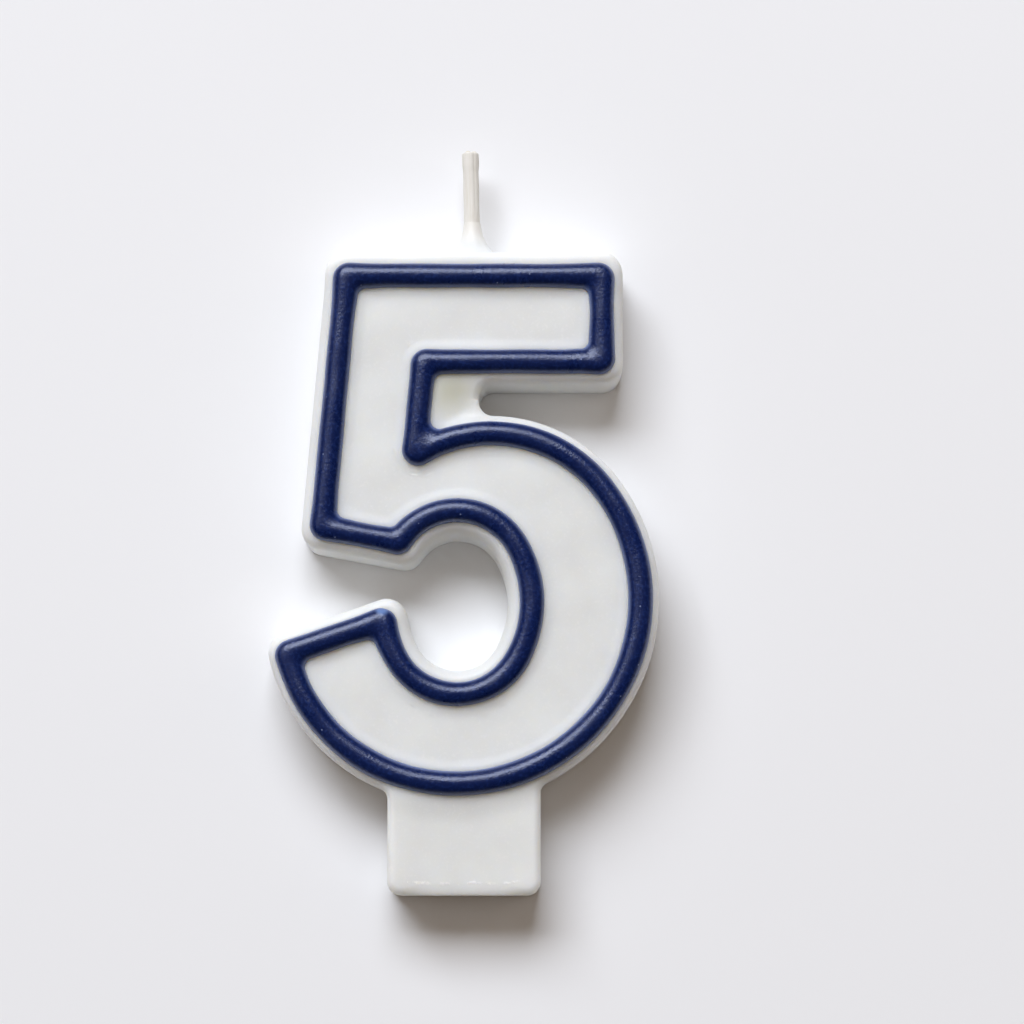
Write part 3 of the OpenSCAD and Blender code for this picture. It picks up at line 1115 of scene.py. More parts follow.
@dataclass
class Wick:
    """Three cotton plies twisted together and drawn through priming wax.

    Heights are counted from the casting's top edge.  Each of the waves of the wax is given
    by its rise, its phase for each millimetre up and for each radian round, and its start.
    """

    numeral: Numeral
    right: float = 0.9
    lean: float = 1.5
    outside: float = 13.0
    within: float = 12.5
    proud: float = 0.2
    r: float = 0.93
    tip_r: float = 0.995
    tip_len: float = 1.9
    tip_blend: float = 0.5
    cut_r: float = 0.24
    core_r: float = 0.2
    grooves: tuple[Groove, ...] = (
        Groove(0.075, -0.95, -0.012, 0.13), Groove(0.03, -2.3, 0.03, 0.2))
    grooved_h: tuple[float, float] = (4.4, 7.0)
    waves: tuple[tuple[float, float, float, float], ...] = (
        (0.012, 1.7, 2.0, 0.0), (0.01, 0.6, -3.0, 1.0))
    bead_rise: float = 0.05
    bead_at: tuple[float, float] = (5.3, -1.6)
    bead_size: tuple[float, float] = (0.3, 0.35)
    ply_r: float = 0.36
    ply_gap: float = 0.012
    plies: int = 3
    ply_end: float = 0.12
    ply_end_share: float = 0.5
    ring_r: float = 0.433
    lay: float = 7.0
    yarns: int = 6
    yarn_turns: int = 3
    yarn_depth: float = 0.03
    around: int = 64
    rows: int = 120
    cut_rows: int = 5
    ply_around: int = 18
    ply_rows: int = 150

    def axis(self, h: np.ndarray) -> np.ndarray:
        """Middle of the wick at heights above the casting, as an array of X, Y, Z."""
        h = np.asarray(h, float)
        x = self.right - h * math.sin(math.radians(self.lean))
        z = self.numeral.body_top + h * math.cos(math.radians(self.lean))
        return np.stack([x, np.zeros_like(h), z], -1)

    def tube(self, h: np.ndarray, r: np.ndarray, angle: np.ndarray) -> np.ndarray:
        """Points round the wick's axis, one row for each height.

        Args:
            h: Heights above the casting.
            r: Radii, a row for each height and a column for each angle.
            angle: Angles round the axis, in radians.

        Returns:
            Grid of points in millimetres.
        """
        middle = self.axis(h)
        return np.stack([
            middle[:, :1] + r * np.cos(angle), r * np.sin(angle),
            np.broadcast_to(middle[:, 2:], r.shape)], -1)

    def radius(self, h: np.ndarray, angle: np.ndarray) -> np.ndarray:
        """Outer radius of the primed wick.

        The wick is a little thicker where the cut end was dipped.  Bell-shaped grooves
        between its plies turn slowly with height, two waves of a hundredth make the wax
        uneven, and one bell-shaped bead of wax stands out.

        Args:
            h: Heights above the casting.
            angle: Angles round the axis, in radians.

        Returns:
            Radii in millimetres.
        """
        dipped = self.outside - self.proud - self.tip_len
        r = self.r + (self.tip_r - self.r) * smoothstep(
            dipped - self.tip_blend, dipped + self.tip_blend, h)
        shown = smoothstep(*self.grooved_h, h)
        for groove in self.grooves:
            off = (angle - groove.at - groove.turn * h) / groove.width
            r = r - groove.depth * shown * np.exp(-off ** 2)
        for rise, with_height, with_angle, start in self.waves:
            r = r + rise * np.sin(with_height * h + with_angle * angle + start)
        up = (h - self.bead_at[0]) / self.bead_size[0]
        round_off = (angle - self.bead_at[1]) / self.bead_size[1]
        return r + self.bead_rise * np.exp(-up ** 2 - round_off ** 2)

    def sleeve(self, material: bpy.types.Material) -> bpy.types.Object:
        """Builds the priming wax as a tube moulded round the plies.

        Outside, the radius is a function of height and angle, and the cut end rounds over by
        a quarter of a circle.  Inside, the wall follows the three plies: at each angle it is
        the farthest crossing with their circles, which turn with the lay.

        Args:
            material: Finish of the priming wax.

        Returns:
            The piece.
        """
        top = self.outside - self.proud
        angle = np.linspace(-np.pi, np.pi, self.around, endpoint=False)
        low = np.linspace(-self.within, top - self.cut_r, self.rows)
        over = np.linspace(0, np.pi / 2, self.cut_rows + 1)[1:]
        up = np.concatenate([low, top - self.cut_r + self.cut_r * np.sin(over)])
        shrink = np.concatenate([np.zeros(len(low)), self.cut_r * (1 - np.cos(over))])
        outer = self.radius(up[:, None], angle[None]) - shrink[:, None]
        down = np.linspace(top, -self.within, self.rows)
        inner = np.maximum(self.bore(down[:, None], angle[None]), self.core_r)
        draft = MeshDraft()
        rows = draft.add_points(self.tube(
            np.concatenate([up, down]), np.concatenate([outer, inner]), angle))
        draft.add_grid(np.concatenate([rows, rows[:1]]))
        return draft.write("wick_priming_wax", material)

    def bore(self, h: np.ndarray, angle: np.ndarray) -> np.ndarray:
        """Radius of the sleeve's inside at heights and angles.

        For each ply, a ray from the axis leaves its circle at
        ring cos(a) + sqrt(ply^2 - ring^2 sin^2(a)); between the plies the ray misses, and the
        wax reaches in to the nearest point of the circle.

        Args:
            h: Heights above the casting.
            angle: Angles round the axis, in radians.

        Returns:
            Radii in millimetres.
        """
        reach = []
        for ply in range(self.plies):
            off = angle - 2 * np.pi * (ply / self.plies + (h + self.within) / self.lay)
            root = (self.ply_r + self.ply_gap) ** 2 - (self.ring_r * np.sin(off)) ** 2
            edge = self.ring_r * np.cos(off) + np.sqrt(np.maximum(root, 0))
            reach.append(np.where(np.cos(off) > 0, edge, 0))
        return np.maximum.reduce(reach)

    def ply(self, index: int, material: bpy.types.Material) -> bpy.types.Object:
        """Builds one cotton ply: a circle carried round the axis once in each lay.

        Its yarns are a relief of shallow waves that turn three times as fast as the ply, and
        both ends taper over the last tenth of a millimetre to half the radius, by a square
        root.

        Args:
            index: Which of the plies, from 0.
            material: Finish of the cotton.

        Returns:
            The piece.
        """
        h = np.linspace(-self.within, self.outside, self.ply_rows)
        around = np.linspace(0, 2 * np.pi, self.ply_around, endpoint=False)[None]
        turn = (2 * np.pi * (index / self.plies + (h + self.within) / self.lay))[:, None]
        ends = np.minimum(h + self.within, self.outside - h)[:, None]
        least = self.ply_end_share ** 2
        taper = np.sqrt(np.clip(ends / self.ply_end + least, least, 1))
        yarns = np.cos(self.yarns * around + self.yarn_turns * turn)
        relief = 1 + self.yarn_depth * (yarns - 1)
        r = self.ply_r * taper * relief
        middle = self.axis(h)
        middle[:, :2] += self.ring_r * np.concatenate([np.cos(turn), np.sin(turn)], 1)
        grid = np.repeat(middle[:, None], self.ply_around, axis=1)
        grid[..., 0] += r * np.cos(around + turn)
        grid[..., 1] += r * np.sin(around + turn)
        draft = MeshDraft()
        rows = draft.add_points(grid)
        draft.add_grid(rows)
        for end, flip in ((0, True), (-1, False)):
            tip = draft.add_points(middle[end][None])
            draft.add_fan(rows[end], int(tip[0]), flip)
        return draft.write(f"cotton_ply_{index + 1}", material)

    def build(self) -> list[bpy.types.Object]:
        """Builds and dresses the plies and their wax.

        Returns:
            The four pieces.
        """
        cotton, primed = TwistedCotton().material(), PrimedWick().material()
        plies = [self.ply(i, cotton) for i in range(self.plies)]
        for i, piece in enumerate(plies):
            mount(piece, f"wick_ply_{i + 1}")
        sleeve = self.sleeve(primed)
        mount(sleeve, "wick_wax_sleeve")
        return [*plies, sleeve]


def mount(piece: bpy.types.Object, node: str) -> None:
    """Lets a piece stand for a solid of the frame and ride on the body.

    Args:
        piece: The dressed piece.
        node: Name of the solid that it replaces.
    """
    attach(piece, "root")
    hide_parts(node)


# ---- Wax casting -----------------------------------------------------------------------------


@dataclass
class WaxCasting:
    """Digit, foot peg and web in one pour, with the sunk panel and the cone at the wick.

    A field that ends in drop, fall or fade is how deep a hollow is, over what length it
    falls, and over what length it fades.  Heights of the cone and of the wick's seat are
    counted from the top edge, and those of their lips down from the cone's top.
    """

    numeral: Numeral
    wick: Wick
    ripple: Ripple
    spacing: float = 0.45
    grid: float = 0.55
    probe: float = 0.5
    edge_share: float = 0.9
    edge_slope: float = 1.5
    edge_steps: int = 10
    edge_blend: int = 2
    top_edge_depth: float = 0.35
    peg_edge: float = 1.0
    foot_edge: tuple[float, float] = (1.6, 0.75)
    foot_fade: float = 3.0
    rib_half: float = 0.95
    rib_h: float = 0.66
    on_rib: tuple[float, float] = (0.6, 0.25)
    beside_rib: float = 1.2
    panel_drop: float = 0.16
    cove: float = 1.45
    cove_steps: int = 8
    cove_corner_r: tuple[float, float] = (1.2, 1.5)
    peg_drop: float = 0.35
    peg_fall: float = 3.2
    peg_top_z: tuple[float, float] = (14.0, 17.0)
    web_drop: float = 0.6
    web_fall: float = 3.6
    web_fade: tuple[float, float] = (2.0, 6.0)
    web_foot_fade: float = 2.0
    crown_fall: float = 0.8
    dent_at: tuple[float, float] = (-0.2, 56.45)
    dent_lean: float = 20.0
    dent_size: tuple[float, float] = (1.1, 0.45)
    dent_drop: float = 0.13
    cone_foot: float = 3.58
    cone_margin: float = 1.57
    cone_skin: float = 0.06
    cone_rise: float = 4.3
    cone_reach: float = 1.63
    cone_toe: tuple[float, float] = (0.06, 0.1)
    cone_lobes: tuple[tuple[float, float, float], ...] = ((0.05, 1.0, -0.3), (0.035, 2.0, 0.9))
    cone_even: float = 1.0
    cone_lip: tuple[tuple[float, float], ...] = ((0.05, 0.0), (0.02, 0.012), (0.0, 0.03))
    cone_ends: tuple[float, float] = (0.04, 0.12)
    cone_rows: int = 22
    seat_lip: tuple[float, ...] = (0.01, 0.04, 0.6, 1.6)
    seat_lip_gap: float = 0.025
    seat_from: float = 2.2
    seat_r: float = 1.03
    seat_gap: float = 0.03
    seat_rows: int = 12
    wall_steps: int = 6
    back_edge_r: float = 0.15
    back_edge_steps: int = 5
    back_dish: float = 0.08
    back_insets: tuple[float, ...] = (0.75, 1.1, 1.5, 2.0)
    back_corner_r: float = 0.6
    back_ripple: float = 0.3
    _draft: MeshDraft = field(default_factory=MeshDraft)

    @property
    def face_y(self) -> float:
        """Depth of the front face's plane."""
        return -self.numeral.depth / 2

    @property
    def back_y(self) -> float:
        """Depth of the back's plane."""
        return self.numeral.depth / 2

    def build(self) -> bpy.types.Object:
        """Builds the casting as one closed skin and dresses it.

        Returns:
            The piece.
        """
        path = self.numeral.casting_path(self.spacing)
        edge = path.ring()
        inward = (path.ring(-self.probe) - edge) / self.probe
        front = self._front_edge(path, inward)
        back = self._back_edge(edge, inward)
        rows = self._wall(path, front[0], back[0])
        self._draft.add_grid(front, flip=True)
        self._draft.add_grid(back)
        self._top_with_cone(path, rows)
        self._front_face(front[-1])
        self._back_face(back[-1], path)
        piece = self._draft.write("wax_casting", CastParaffin().material())
        mount(piece, "numeral_body")
        return piece

    def _edge_size(self, path: StrokePath) -> tuple[np.ndarray, np.ndarray]:
        """Width and depth of the rounded front edge at each point of the casting's edge.

        The width is most of the rim beside it, and the depth a half more.  Along the top,
        where the cone stands close to the edge, the depth is small, and the foot of the peg
        has a broad slanting edge.  The least of the nearest points, and then their mean,
        carries one leg's sizes into the next.

        Args:
            path: Path of the casting's edge.

        Returns:
            Widths and depths in millimetres.
        """
        n = self.numeral
        rims = [n.rim_bar] * 2 + [n.rim_counter] * 4 + [n.rim_bar, n.rim_bowl]
        rims += [self.peg_edge] * 3 + [n.rim_bowl] * 2 + [n.rim_bar] * 3 + [n.rim_top]
        widths = self.edge_share * np.array(rims)
        depths = np.append(self.edge_slope * widths[:-1], self.top_edge_depth)
        x, z = path.ring().T
        from_corner = n.peg_w / 2 - n.peg_corner_r - np.abs(x)
        foot = (z < self.spacing / 2) * smoothstep(0, self.foot_fade, from_corner)
        near = range(-2 * self.edge_blend, 2 * self.edge_blend + 1)
        nearest = range(-self.edge_blend, self.edge_blend + 1)
        sizes = []
        for by_leg, at_foot in zip((widths, depths), self.foot_edge):
            size = np.repeat(by_leg, np.diff(path.first))
            low = np.minimum.reduce([np.roll(size, k) for k in near])
            even = np.mean([np.roll(low, k) for k in nearest], axis=0)
            sizes.append(even + foot * (at_foot - even))
        return sizes[0], sizes[1]

    def _front_edge(self, path: StrokePath, inward: np.ndarray) -> np.ndarray:
        """Rounds the front edge softly.

        A quarter of an ellipse is carried round the casting: with angle t from the wall, a
        point lies its width times (1 - cos t) inward and its depth times (1 - sin t) behind
        the face.

        Args:
            path: Path of the casting's edge.
            inward: How each point moves for each millimetre inward.

        Returns:
            Point numbers, a row for each angle, from the wall to the face.
        """
        edge, (width, deep) = path.ring(), self._edge_size(path)
        rows = []
        for t in np.linspace(0, np.pi / 2, self.edge_steps + 1):
            ring = edge + inward * (width * (1 - math.cos(t)))[:, None]
            y = self.face_y + deep * (1 - math.sin(t))
            rows.append(upright(ring, y - math.sin(t) * self._relief(ring)))
        return self._draft.add_points(np.stack(rows))

    def _relief(self, plane: np.ndarray) -> np.ndarray:
        """Height of the face over its plane, apart from rib and panel.

        The ripple is everywhere.  Below the bowl the face of the peg falls away from the
        outline by a soft step.  The web between the lines of bar, stem and crown is a
        pocket, the product of soft steps that start at the three lines, slow ones from bar
        and stem and a quick one from the crown.  It fades toward the right and the stem's
        foot, and a small dent lies in it.

        Args:
            plane: Points of the XZ plane.

        Returns:
            Heights in millimetres, negative for hollows.
        """
        n, (x, z) = self.numeral, plane.T
        bowl = np.maximum(np.linalg.norm(plane - n.bowl, axis=1) - n.bowl_r,
                          np.linalg.norm(plane - n.heel, axis=1) - n.heel_r)
        peg = smoothstep(0, self.peg_fall, bowl - n.half_line)
        peg *= 1 - smoothstep(*self.peg_top_z, z)
        lean = math.radians(n.inner_lean)
        from_crown = np.linalg.norm(plane - n.crown, axis=1) - n.crown_r
        from_bar = n.under_z - z
        from_stem = (x + n.stem_inner) * math.cos(lean) + from_bar * math.sin(lean)
        web = 1 - smoothstep(*self.web_fade, x - n.web_end)
        for away, length in (
                (from_crown - n.half_line, self.crown_fall),
                (from_bar - n.half_line, self.web_fall),
                (from_stem - n.half_line, self.web_fall),
                (z - n.crown[1], self.web_foot_fade)):
            web = web * smoothstep(0, length, away)
        return (self.ripple.height(x, z) - self.peg_drop * peg - self.web_drop * web
                - self._dent(plane))

    def _dent(self, plane: np.ndarray) -> np.ndarray:
        """Depth of the small dent in the web, a slanting bell shape."""
        off = plane - np.array(self.dent_at)
        axes = np.stack([unit(self.dent_lean), unit(self.dent_lean + 90)], 1)
        return self.dent_drop * np.exp(-((off @ axes / self.dent_size) ** 2).sum(axis=1))

    def _back_edge(self, edge: np.ndarray, inward: np.ndarray) -> np.ndarray:
        """Rounds the back edge in the same way, with one radius all round.

        Args:
            edge: Ring of the casting's edge.
            inward: How each point moves for each millimetre inward.

        Returns:
            Point numbers, a row for each angle, from the wall to the back.
        """
        r = self.back_edge_r
        rows = [upright(edge + inward * r * (1 - math.cos(t)),
                        self.back_y - r * (1 - math.sin(t)))
                for t in np.linspace(0, np.pi / 2, self.back_edge_steps + 1)]
        return self._draft.add_points(np.stack(rows))

    def _wall(self, path: StrokePath, front: np.ndarray, back: np.ndarray) -> np.ndarray:
        """Fills the wall between both rounded edges, except behind the cone's foot.

        Rows of points run straight from the front edge to the back edge.

        Args:
            path: Path of the casting's edge.
            front: Point numbers where the front edge starts.
            back: Point numbers where the back edge starts.

        Returns:
            Grid of point numbers of the whole wall, front row first.
        """
        known = np.concatenate(self._draft.points)
        share = np.linspace(0, 1, self.wall_steps + 1)[1:-1, None, None]
        between = known[front] + (known[back] - known[front]) * share
        rows = np.concatenate([front[None], self._draft.add_points(between), back[None]])
        upper, lower = rows[:-1], rows[1:]
        quads = np.stack(
            [upper, lower, np.roll(lower, -1, axis=1), np.roll(upper, -1, axis=1)], -1)
        keep = np.ones(rows.shape[1], bool)
        keep[self._cone_columns(path)[:-1]] = False
        self._draft.add_faces(quads[:, keep].reshape(-1, 4))
        return rows

    def _cone_columns(self, path: StrokePath) -> np.ndarray:
        """Numbers of the points of the top edge that border the cone's patch."""
        top = path.leg_numbers(len(path.legs) - 1)
        x = path.ring()[top, 0]
        return top[np.abs(x - self.wick.right) < self.cone_foot + self.cone_margin]

    def _top_with_cone(self, path: StrokePath, rows: np.ndarray) -> None:
        """Closes the top edge with a flat patch, the cone of wax and the wick's seat.

        Above the foot, the radius of the cone is that of the wick plus a term that falls off
        exponentially with height, as a meniscus does; a short second term spreads the toe,
        and lobes that set in with height make it uneven: each is given by its size, its
        number round the wick and its start.  The seat hugs the wick under the rounded lip
        and follows it down to its lower end.

        Args:
            path: Path of the casting's edge.
            rows: Grid of the wall's point numbers.
        """
        wick, draft = self.wick, self._draft
        block = rows[:, self._cone_columns(path)]
        border = np.concatenate([
            block[0], block[1:-1, -1], block[-1, ::-1], block[1:-1, 0][::-1]])[::-1]
        angle = np.linspace(-np.pi, np.pi, wick.around, endpoint=False)
        below, drawn_in = np.array(self.cone_lip).T
        first, last = self.cone_ends
        h = np.concatenate([
            [0.0], np.geomspace(first, self.cone_rise - last, self.cone_rows),
            self.cone_rise - below])
        fade = np.exp(-h / self.cone_reach) - math.exp(-self.cone_rise / self.cone_reach)
        toe, toe_reach = self.cone_toe
        flare = (1 - toe) * fade / fade[0] + toe * np.exp(-h / toe_reach)
        lobes = sum(size * np.cos(count * angle + start)
                    for size, count, start in self.cone_lobes)
        slim = wick.r + self.cone_skin
        uneven = 1 + smoothstep(0.0, self.cone_even, h)[:, None] * lobes
        r = slim + (self.cone_foot - slim) * flare[:, None] * uneven
        r[-len(below):] -= drawn_in[:, None]
        seat_h = np.concatenate([self.cone_rise - np.array(self.seat_lip), np.linspace(
            self.cone_rise - self.seat_from, -wick.within - self.seat_gap, self.seat_rows)])
        seat_r = np.full((len(seat_h), len(angle)), self.seat_r)
        seat_r[:len(self.seat_lip)] = wick.r + self.seat_lip_gap
        grid = draft.add_points(wick.tube(
            np.concatenate([h, seat_h]), np.concatenate([r, seat_r]), angle))
        draft.add_grid(grid, flip=True)
        deepest = draft.add_points(wick.axis(seat_h[-1:]))
        draft.add_fan(grid[-1], int(deepest[0]), flip=True)
        known = np.concatenate(draft.points)
        rings = [known[border][:, :2], known[grid[0]][:, :2]]
        patch = triangulate(rings, np.zeros((0, 2)))
        centre = np.concatenate(rings)[patch].mean(axis=1)
        away = np.linalg.norm(centre - np.array([wick.right, 0.0]), axis=1)
        outside = away > r[0].min() * math.cos(math.pi / wick.around)
        draft.add_faces(np.concatenate([border, grid[0]])[patch[outside]])

    def _front_face(self, rim: np.ndarray) -> None:
        """Fills the front with rim, rib, cove, panel, peg and web.

        The surface is a depth over the plane.  It is level beside the outline, rises as the
        square of a cosine under the navy coat, falls from the coat's inner foot by a soft
        S-shaped cove to the sunk panel, and carries the relief everywhere.

        Args:
            rim: Point numbers of the rounded front edge's last row.
        """
        half = self.numeral.half_line
        line = self.numeral.line_path(self.spacing)
        beside = (self.beside_rib, self.rib_half, *self.on_rib)
        cove = half + self.cove * np.linspace(0, 1, self.cove_steps + 1)
        known = np.concatenate(self._draft.points)
        rings = [known[rim][:, [0, 2]]]
        rises = [np.zeros(len(rim))]
        for d in (half, *beside, *(-d for d in reversed(beside)), *-cove):
            least = float(np.interp(-d, (half, half + self.cove), self.cove_corner_r))
            rings.append(line.ring(d, least))
            rise = self.rib_h * math.cos(math.pi / 2 * min(1.0, abs(d) / self.rib_half)) ** 2
            rise -= self.panel_drop * smoothstep(half, half + self.cove, -d)
            rises.append(np.full(len(rings[-1]), rise))
        loose = self._loose_points(rings)
        rises.append(np.where(inside(loose, rings[-1]), -self.panel_drop, 0.0))
        plane = np.concatenate([*rings, loose])
        rise = np.concatenate(rises) + self._relief(plane)
        numbers = np.concatenate([rim, self._draft.add_points(
            upright(plane, self.face_y - rise)[len(rim):])])
        self._draft.add_faces(numbers[triangulate(rings, loose)])

    def _loose_points(self, rings: Sequence[np.ndarray]) -> np.ndarray:
        """Grid points inside the first ring that stay clear of all rings."""
        low, high = rings[0].min(axis=0), rings[0].max(axis=0)
        x, z = (np.arange(a, b, self.grid) for a, b in zip(low, high))
        points = np.stack(np.meshgrid(x, z), -1).reshape(-1, 2)
        points[:, 0] += 0.5 * self.grid * (np.arange(len(points)) // len(x) % 2)
        points = points[inside(points, rings[0])]
        return points[clear_of(points, np.concatenate(rings), 0.5 * self.grid)]

    def _back_face(self, rim: np.ndarray, path: StrokePath) -> None:
        """Fills the back, which set in the open mould.

        The wax clung to the mould and sank between its walls as it cooled, so the back falls
        from its edge by a soft step to a shallow, gently rippled dish.

        Args:
            rim: Point numbers of the rounded back edge's last row.
            path: Path of the casting's edge.
        """
        known = np.concatenate(self._draft.points)
        rings = [known[rim][:, [0, 2]]]
        depths = [np.zeros(len(rim))]
        for inset in self.back_insets:
            rings.append(path.ring(-inset, self.back_corner_r))
            share = smoothstep(self.back_edge_r, self.back_insets[-1], inset)
            depths.append(np.full(len(rings[-1]), self.back_dish * share))
        loose = self._loose_points(rings)
        depths.append(np.full(len(loose), self.back_dish))
        plane = np.concatenate([*rings, loose])
        wave = self.ripple.height(*plane.T) / self.ripple.rise
        sunk = np.concatenate(depths) * (1 + self.back_ripple * wave)
        numbers = np.concatenate([rim, self._draft.add_points(
            upright(plane, self.back_y - np.maximum(sunk, 0.0))[len(rim):])])
        self._draft.add_faces(numbers[triangulate(rings, loose)][:, ::-1])


# ---- Navy outline ----------------------------------------------------------------------------


@dataclass
class NavyOutline:
    """Half-round coat of navy wax over the casting's rib.

    Its sides reach a little below the face, so that the face's ripple opens no gap, and
    corner_r is the least radius of its corners at any height.
    """

    numeral: Numeral
    ripple: Ripple
    rise: float = 1.32
    channel: float = 0.98
    channel_h: float = 0.74
    sunk: float = 0.03
    spacing: float = 0.32
    across: int = 18
    corner_r: float = 1.1
    corner_steps: int = 12
    corner_bulge: float = 0.11
    bulge_reach: float = 2.0
    unevenness: float = 0.04
    width_seed: int = 3
    height_seed: int = 8
    waves: int = 8
    wave_counts: tuple[int, int] = (6, 34)
    wave_sizes: tuple[float, float] = (0.3, 1.0)
    usual_sum: float = 3.0

    def build(self) -> bpy.types.Object:
        """Builds the coat by carrying its section along the outline, and dresses it.

        The section is half an ellipse, closed below by a channel that clears the rib.  The
        wax ran a little unevenly, so its width swells and shrinks by a few hundredths of a
        millimetre along the line, and its height by a few hundredths of itself, and it is
        widest round the corners.

        Returns:
            The piece.
        """
        path = self.numeral.line_path(self.spacing, self.corner_steps)
        half = self.numeral.half_line
        front = -self.numeral.depth / 2
        middle = path.ring()
        swell = self._swell(middle, self.width_seed) + self._bulge(middle, path)
        tall = self._swell(middle, self.height_seed) / 2
        rows: list[np.ndarray] = []
        for t in np.linspace(0, np.pi, self.across + 1):
            ring = path.ring(half * math.cos(t), self.corner_r)
            ring = ring + outward(ring) * (swell * math.cos(t))[:, None]
            height = self.rise * math.sin(t) * (1 + tall)
            rows.append(upright(
                ring, front + self.sunk * (1 - math.sin(t)) - height
                - self.ripple.height(*ring.T)))
        for side, h in ((-1, -self.sunk), (-1, self.channel_h), (1, self.channel_h),
                        (1, -self.sunk)):
            rows.append(upright(path.ring(side * self.channel), front - h))
        draft = MeshDraft()
        grid = draft.add_points(np.stack(rows))
        draft.add_grid(np.concatenate([grid, grid[:1]]))
        piece = draft.write("navy_wax_outline", NavyWax().material())
        mount(piece, "outline_coat")
        return piece

    def _swell(self, ring: np.ndarray, seed: int) -> np.ndarray:
        """Slow change along the closed line, the sum of sines with whole numbers of waves.

        The sum is set against what it usually reaches, so the change is about the
        unevenness.

        Args:
            ring: Points of the line.
            seed: Seed of the waves' phases and sizes.

        Returns:
            One small number for each point.
        """
        rng = np.random.default_rng(seed)
        counts = rng.integers(*self.wave_counts, self.waves)
        phase = rng.uniform(0, 2 * np.pi, self.waves)
        size = rng.uniform(*self.wave_sizes, self.waves)
        way = np.cumsum(np.linalg.norm(np.roll(ring, -1, axis=0) - ring, axis=1))
        s = 2 * np.pi * (way / way[-1])[:, None]
        waves = (size * np.sin(counts * s + phase)).sum(axis=1)
        return self.unevenness * waves / self.usual_sum

    def _bulge(self, ring: np.ndarray, path: StrokePath) -> np.ndarray:
        """Extra width near the sharp corners, where the wax gathered, as a bell along the line.

        Args:
            ring: Points of the middle line.
            path: Its path.

        Returns:
            Widths in millimetres, 0 away from the corners.
        """
        sharp = [path.first[i] + path.steps[i] + path.corner_steps // 2
                 for i, leg in enumerate(path.legs) if leg.corner_r > 0]
        corners = ring[np.array(sharp) % len(ring)]
        away = np.linalg.norm(ring[:, None] - corners[None], axis=2).min(axis=1)
        return self.corner_bulge * np.exp(-(away / self.bulge_reach) ** 2)


# ---- Studio ----------------------------------------------------------------------------------


@dataclass(frozen=True)
class Lamp:
    """Rectangular soft lamp that points at the candle's middle.

    Fields are the direction in which it stands, as degrees above the front axis and degrees
    to the right of it, its distance, width and height in millimetres, power and colour, and
    whether glossy surfaces mirror it.
    """

    name: str
    above: float
    right: float
    distance: float
    width: float
    height: float
    watts: float
    colour_hex: str
    mirrored: bool = True

    def build(self, target: Vector) -> bpy.types.Object:
        """Places the lamp.

        Args:
            target: Point that it faces, in metres.

        Returns:
            The lamp's object.
        """
        up, side = math.radians(self.above), math.radians(self.right)
        way = Vector((math.sin(side) * math.cos(up), -math.cos(side) * math.cos(up),
                      math.sin(up)))
        light = bpy.data.lights.new(self.name, "AREA")
        light.shape = "RECTANGLE"
        light.size, light.size_y = self.width * MM, self.height * MM
        light.energy = self.watts
        light.color = linear(self.colour_hex)[:3]
        lamp = bpy.data.objects.new(self.name, light)
        lamp.location = target + way * self.distance * MM
        lamp.rotation_euler = (-way).to_track_quat("-Z", "Y").to_euler()
        lamp.visible_camera = False
        lamp.visible_glossy = self.mirrored
        bpy.context.scene.collection.objects.link(lamp)
        return lamp


class Lamps(Enum):
    """The studio's lamps."""

    WINDOW = Lamp("window_softbox", 40.0, -16.5, 2100.0, 1700.0, 1080.0, 53.8, "#F4F8FF")
    WALL = Lamp("pale_wall", 14.0, 50.0, 1500.0, 1200.0, 900.0, 2.0, "#FFF2E6", False)
    SIDE = Lamp("left_reflector", 5.0, -42.0, 1500.0, 600.0, 900.0, 1.0, "#FFFFFF")


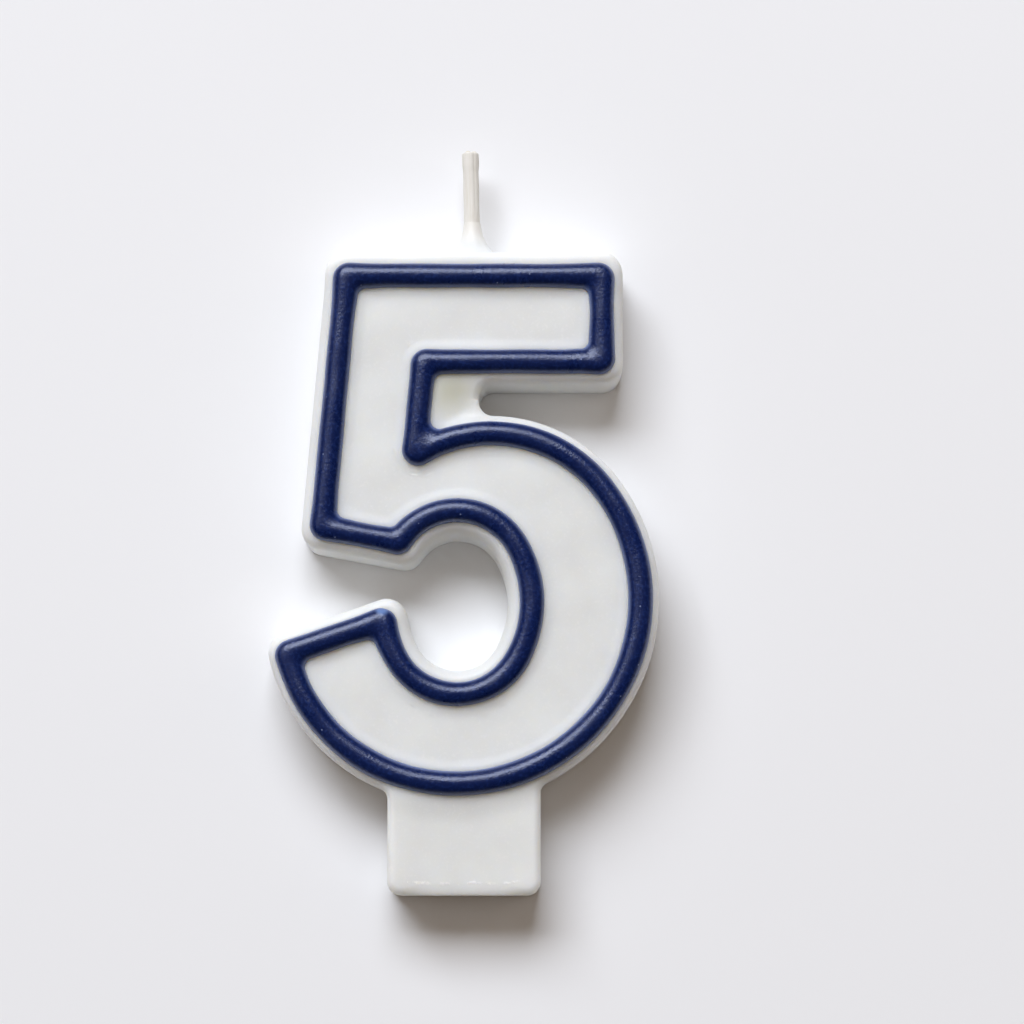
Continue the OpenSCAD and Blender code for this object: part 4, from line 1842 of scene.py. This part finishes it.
@dataclass
class Studio:
    """Pale table on which the candle lies, dim room and front camera.

    The room's light in front is the product of three strengths, each given for both ends of
    its range: from left to right over left_span, for other rays and for mirrored ones, and
    from straight ahead to the sides.
    """

    table_y: float
    gap: float = 0.02
    leak_mm: float = 0.6
    table_hex: str = "#F1F2F4"
    table_side: float = 1600.0
    room_hex: str = "#FFE1C3"
    left_span: tuple[float, float] = (-1.0, 0.2)
    left_strength: tuple[float, float] = (0.2, 0.12)
    mirrored_strength: tuple[float, float] = (1.0, 0.12)
    ahead_strength: tuple[float, float] = (1.45, 0.2)
    behind_from: float = 0.02
    camera_at: tuple[float, float, float] = (5.53, -388.8, -1.08)
    pitch: float = 6.73
    lens: float = 117.07
    sensor: float = 36.0
    clip_m: tuple[float, float] = (0.01, 20.0)

    def build(self) -> None:
        """Builds table, room, lamps and camera, and sets the view transform."""
        self._floor()
        self._room()
        low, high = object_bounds()
        for lamp in Lamps:
            lamp.value.build((low + high) / 2)
        self._camera()
        bpy.context.scene.view_settings.view_transform = "Standard"

    def _floor(self) -> bpy.types.Object:
        """Builds the table's top, the floor of the scene, upright behind the candle's back.

        It shows from its front only, and from behind it is clear.  Light on a path that has
        come through it from behind also passes where it meets the plate within a short hop
        off the wax, so the candle's back is lit when seen from there, and only then.

        Returns:
            The floor's object, marked as stage.
        """
        half, y = self.table_side / 2, self.table_y + self.gap
        corners = np.array([[-half, y, -half], [half, y, -half], [half, y, half],
                            [-half, y, half]]) * MM
        mesh = bpy.data.meshes.new("pale_floor")
        mesh.from_pydata(corners.tolist(), [], [(0, 1, 2, 3)])
        material, tree = new_material("matt_white_table")
        paper = add(tree, "ShaderNodeBsdfDiffuse", {"Color": linear(self.table_hex)})
        clear = add(tree, "ShaderNodeBsdfTransparent")
        side = add(tree, "ShaderNodeNewGeometry")
        rays = add(tree, "ShaderNodeLightPath")
        near = add(tree, "ShaderNodeMath", {
            0: rays.outputs["Ray Length"], 1: self.leak_mm * MM}, operation="LESS_THAN")
        # The depth is a whole number, so a half tells none from one or more.
        entered = add(tree, "ShaderNodeMath", {0: rays.outputs["Transparent Depth"], 1: 0.5},
                      operation="GREATER_THAN")
        leak = add(tree, "ShaderNodeMath", {0: near.outputs[0], 1: entered.outputs[0]},
                   operation="MULTIPLY")
        open_side = add(tree, "ShaderNodeMath", {
            0: leak.outputs[0], 1: side.outputs["Backfacing"]}, operation="MAXIMUM")
        surface = add(tree, "ShaderNodeMixShader", {
            0: open_side.outputs[0], 1: paper.outputs[0], 2: clear.outputs[0]})
        add(tree, "ShaderNodeOutputMaterial", {"Surface": surface.outputs[0]})
        mesh.materials.append(material)
        floor = bpy.data.objects.new("pale_floor", mesh)
        bpy.context.scene.collection.objects.link(floor)
        floor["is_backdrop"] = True
        return floor

    def _room(self) -> None:
        """Builds the room's light: white to the camera, dim in front, white behind.

        In front of the table it is dim: strongest straight ahead of the candle and weak
        toward all sides, a little lighter on the left, and far darker in reflections.
        Behind the table it is a plain white that lights only the candle's back.
        """
        world = bpy.data.worlds.new("plain_room")
        world.use_nodes = True
        tree = world.node_tree
        tree.nodes.clear()
        rays = add(tree, "ShaderNodeLightPath")
        way = add(tree, "ShaderNodeSeparateXYZ", {
            "Vector": add(tree, "ShaderNodeTexCoord").outputs["Generated"]})
        shares = []
        for value, span, strength, blend in (
                (way.outputs["X"], self.left_span, self.left_strength, "SMOOTHSTEP"),
                (rays.outputs["Is Glossy Ray"], (0.0, 1.0), self.mirrored_strength, "LINEAR"),
                (way.outputs["Y"], (-1.0, 0.0), self.ahead_strength, "LINEAR")):
            shares.append(add(tree, "ShaderNodeMapRange", {
                "Value": value, "From Min": span[0], "From Max": span[1],
                "To Min": strength[0], "To Max": strength[1]},
                interpolation_type=blend).outputs["Result"])
        dim = shares[0]
        for share in shares[1:]:
            dim = add(tree, "ShaderNodeMath", {0: dim, 1: share},
                      operation="MULTIPLY").outputs[0]
        behind = add(tree, "ShaderNodeMath", {0: way.outputs["Y"], 1: self.behind_from},
                     operation="GREATER_THAN")
        white = add(tree, "ShaderNodeMath", {
            0: behind.outputs[0], 1: rays.outputs["Is Camera Ray"]}, operation="MAXIMUM")
        strength = add(tree, "ShaderNodeMix", {"Factor": white.outputs[0], 2: dim, 3: 1.0})
        tint = add(tree, "ShaderNodeMix", {
            "Factor": white.outputs[0], 6: linear(self.room_hex), 7: linear("#FFFFFF")},
            data_type="RGBA")
        light = add(tree, "ShaderNodeBackground", {
            "Color": tint.outputs[2], "Strength": strength.outputs[0]})
        add(tree, "ShaderNodeOutputWorld", {"Surface": light.outputs[0]})
        bpy.context.scene.world = world

    def _camera(self) -> bpy.types.Object:
        """Places the front camera, slightly below the candle's middle and pitched up.

        Returns:
            The camera's object.
        """
        data = bpy.data.cameras.new("front_camera")
        data.lens, data.sensor_width = self.lens, self.sensor
        data.clip_start, data.clip_end = self.clip_m
        camera = bpy.data.objects.new("front_camera", data)
        camera.location = Vector(self.camera_at) * MM
        camera.rotation_euler = Euler((math.radians(90 + self.pitch), 0.0, 0.0))
        bpy.context.scene.collection.objects.link(camera)
        bpy.context.scene.camera = camera
        return camera


def main() -> None:
    """Builds the candle piece by piece, then the studio."""
    logging.basicConfig(level=logging.INFO, format="%(name)s: %(message)s")
    numeral, ripple = Numeral(), Ripple()
    wick = Wick(numeral)
    pieces = [WaxCasting(numeral, wick, ripple).build(), NavyOutline(numeral, ripple).build(),
              *wick.build()]
    for piece in pieces:
        log.info("%s: %d points, %d faces", piece.name, len(piece.data.vertices),
                 len(piece.data.polygons))
    Studio(numeral.depth / 2).build()


if __name__ == "__main__":
    main()
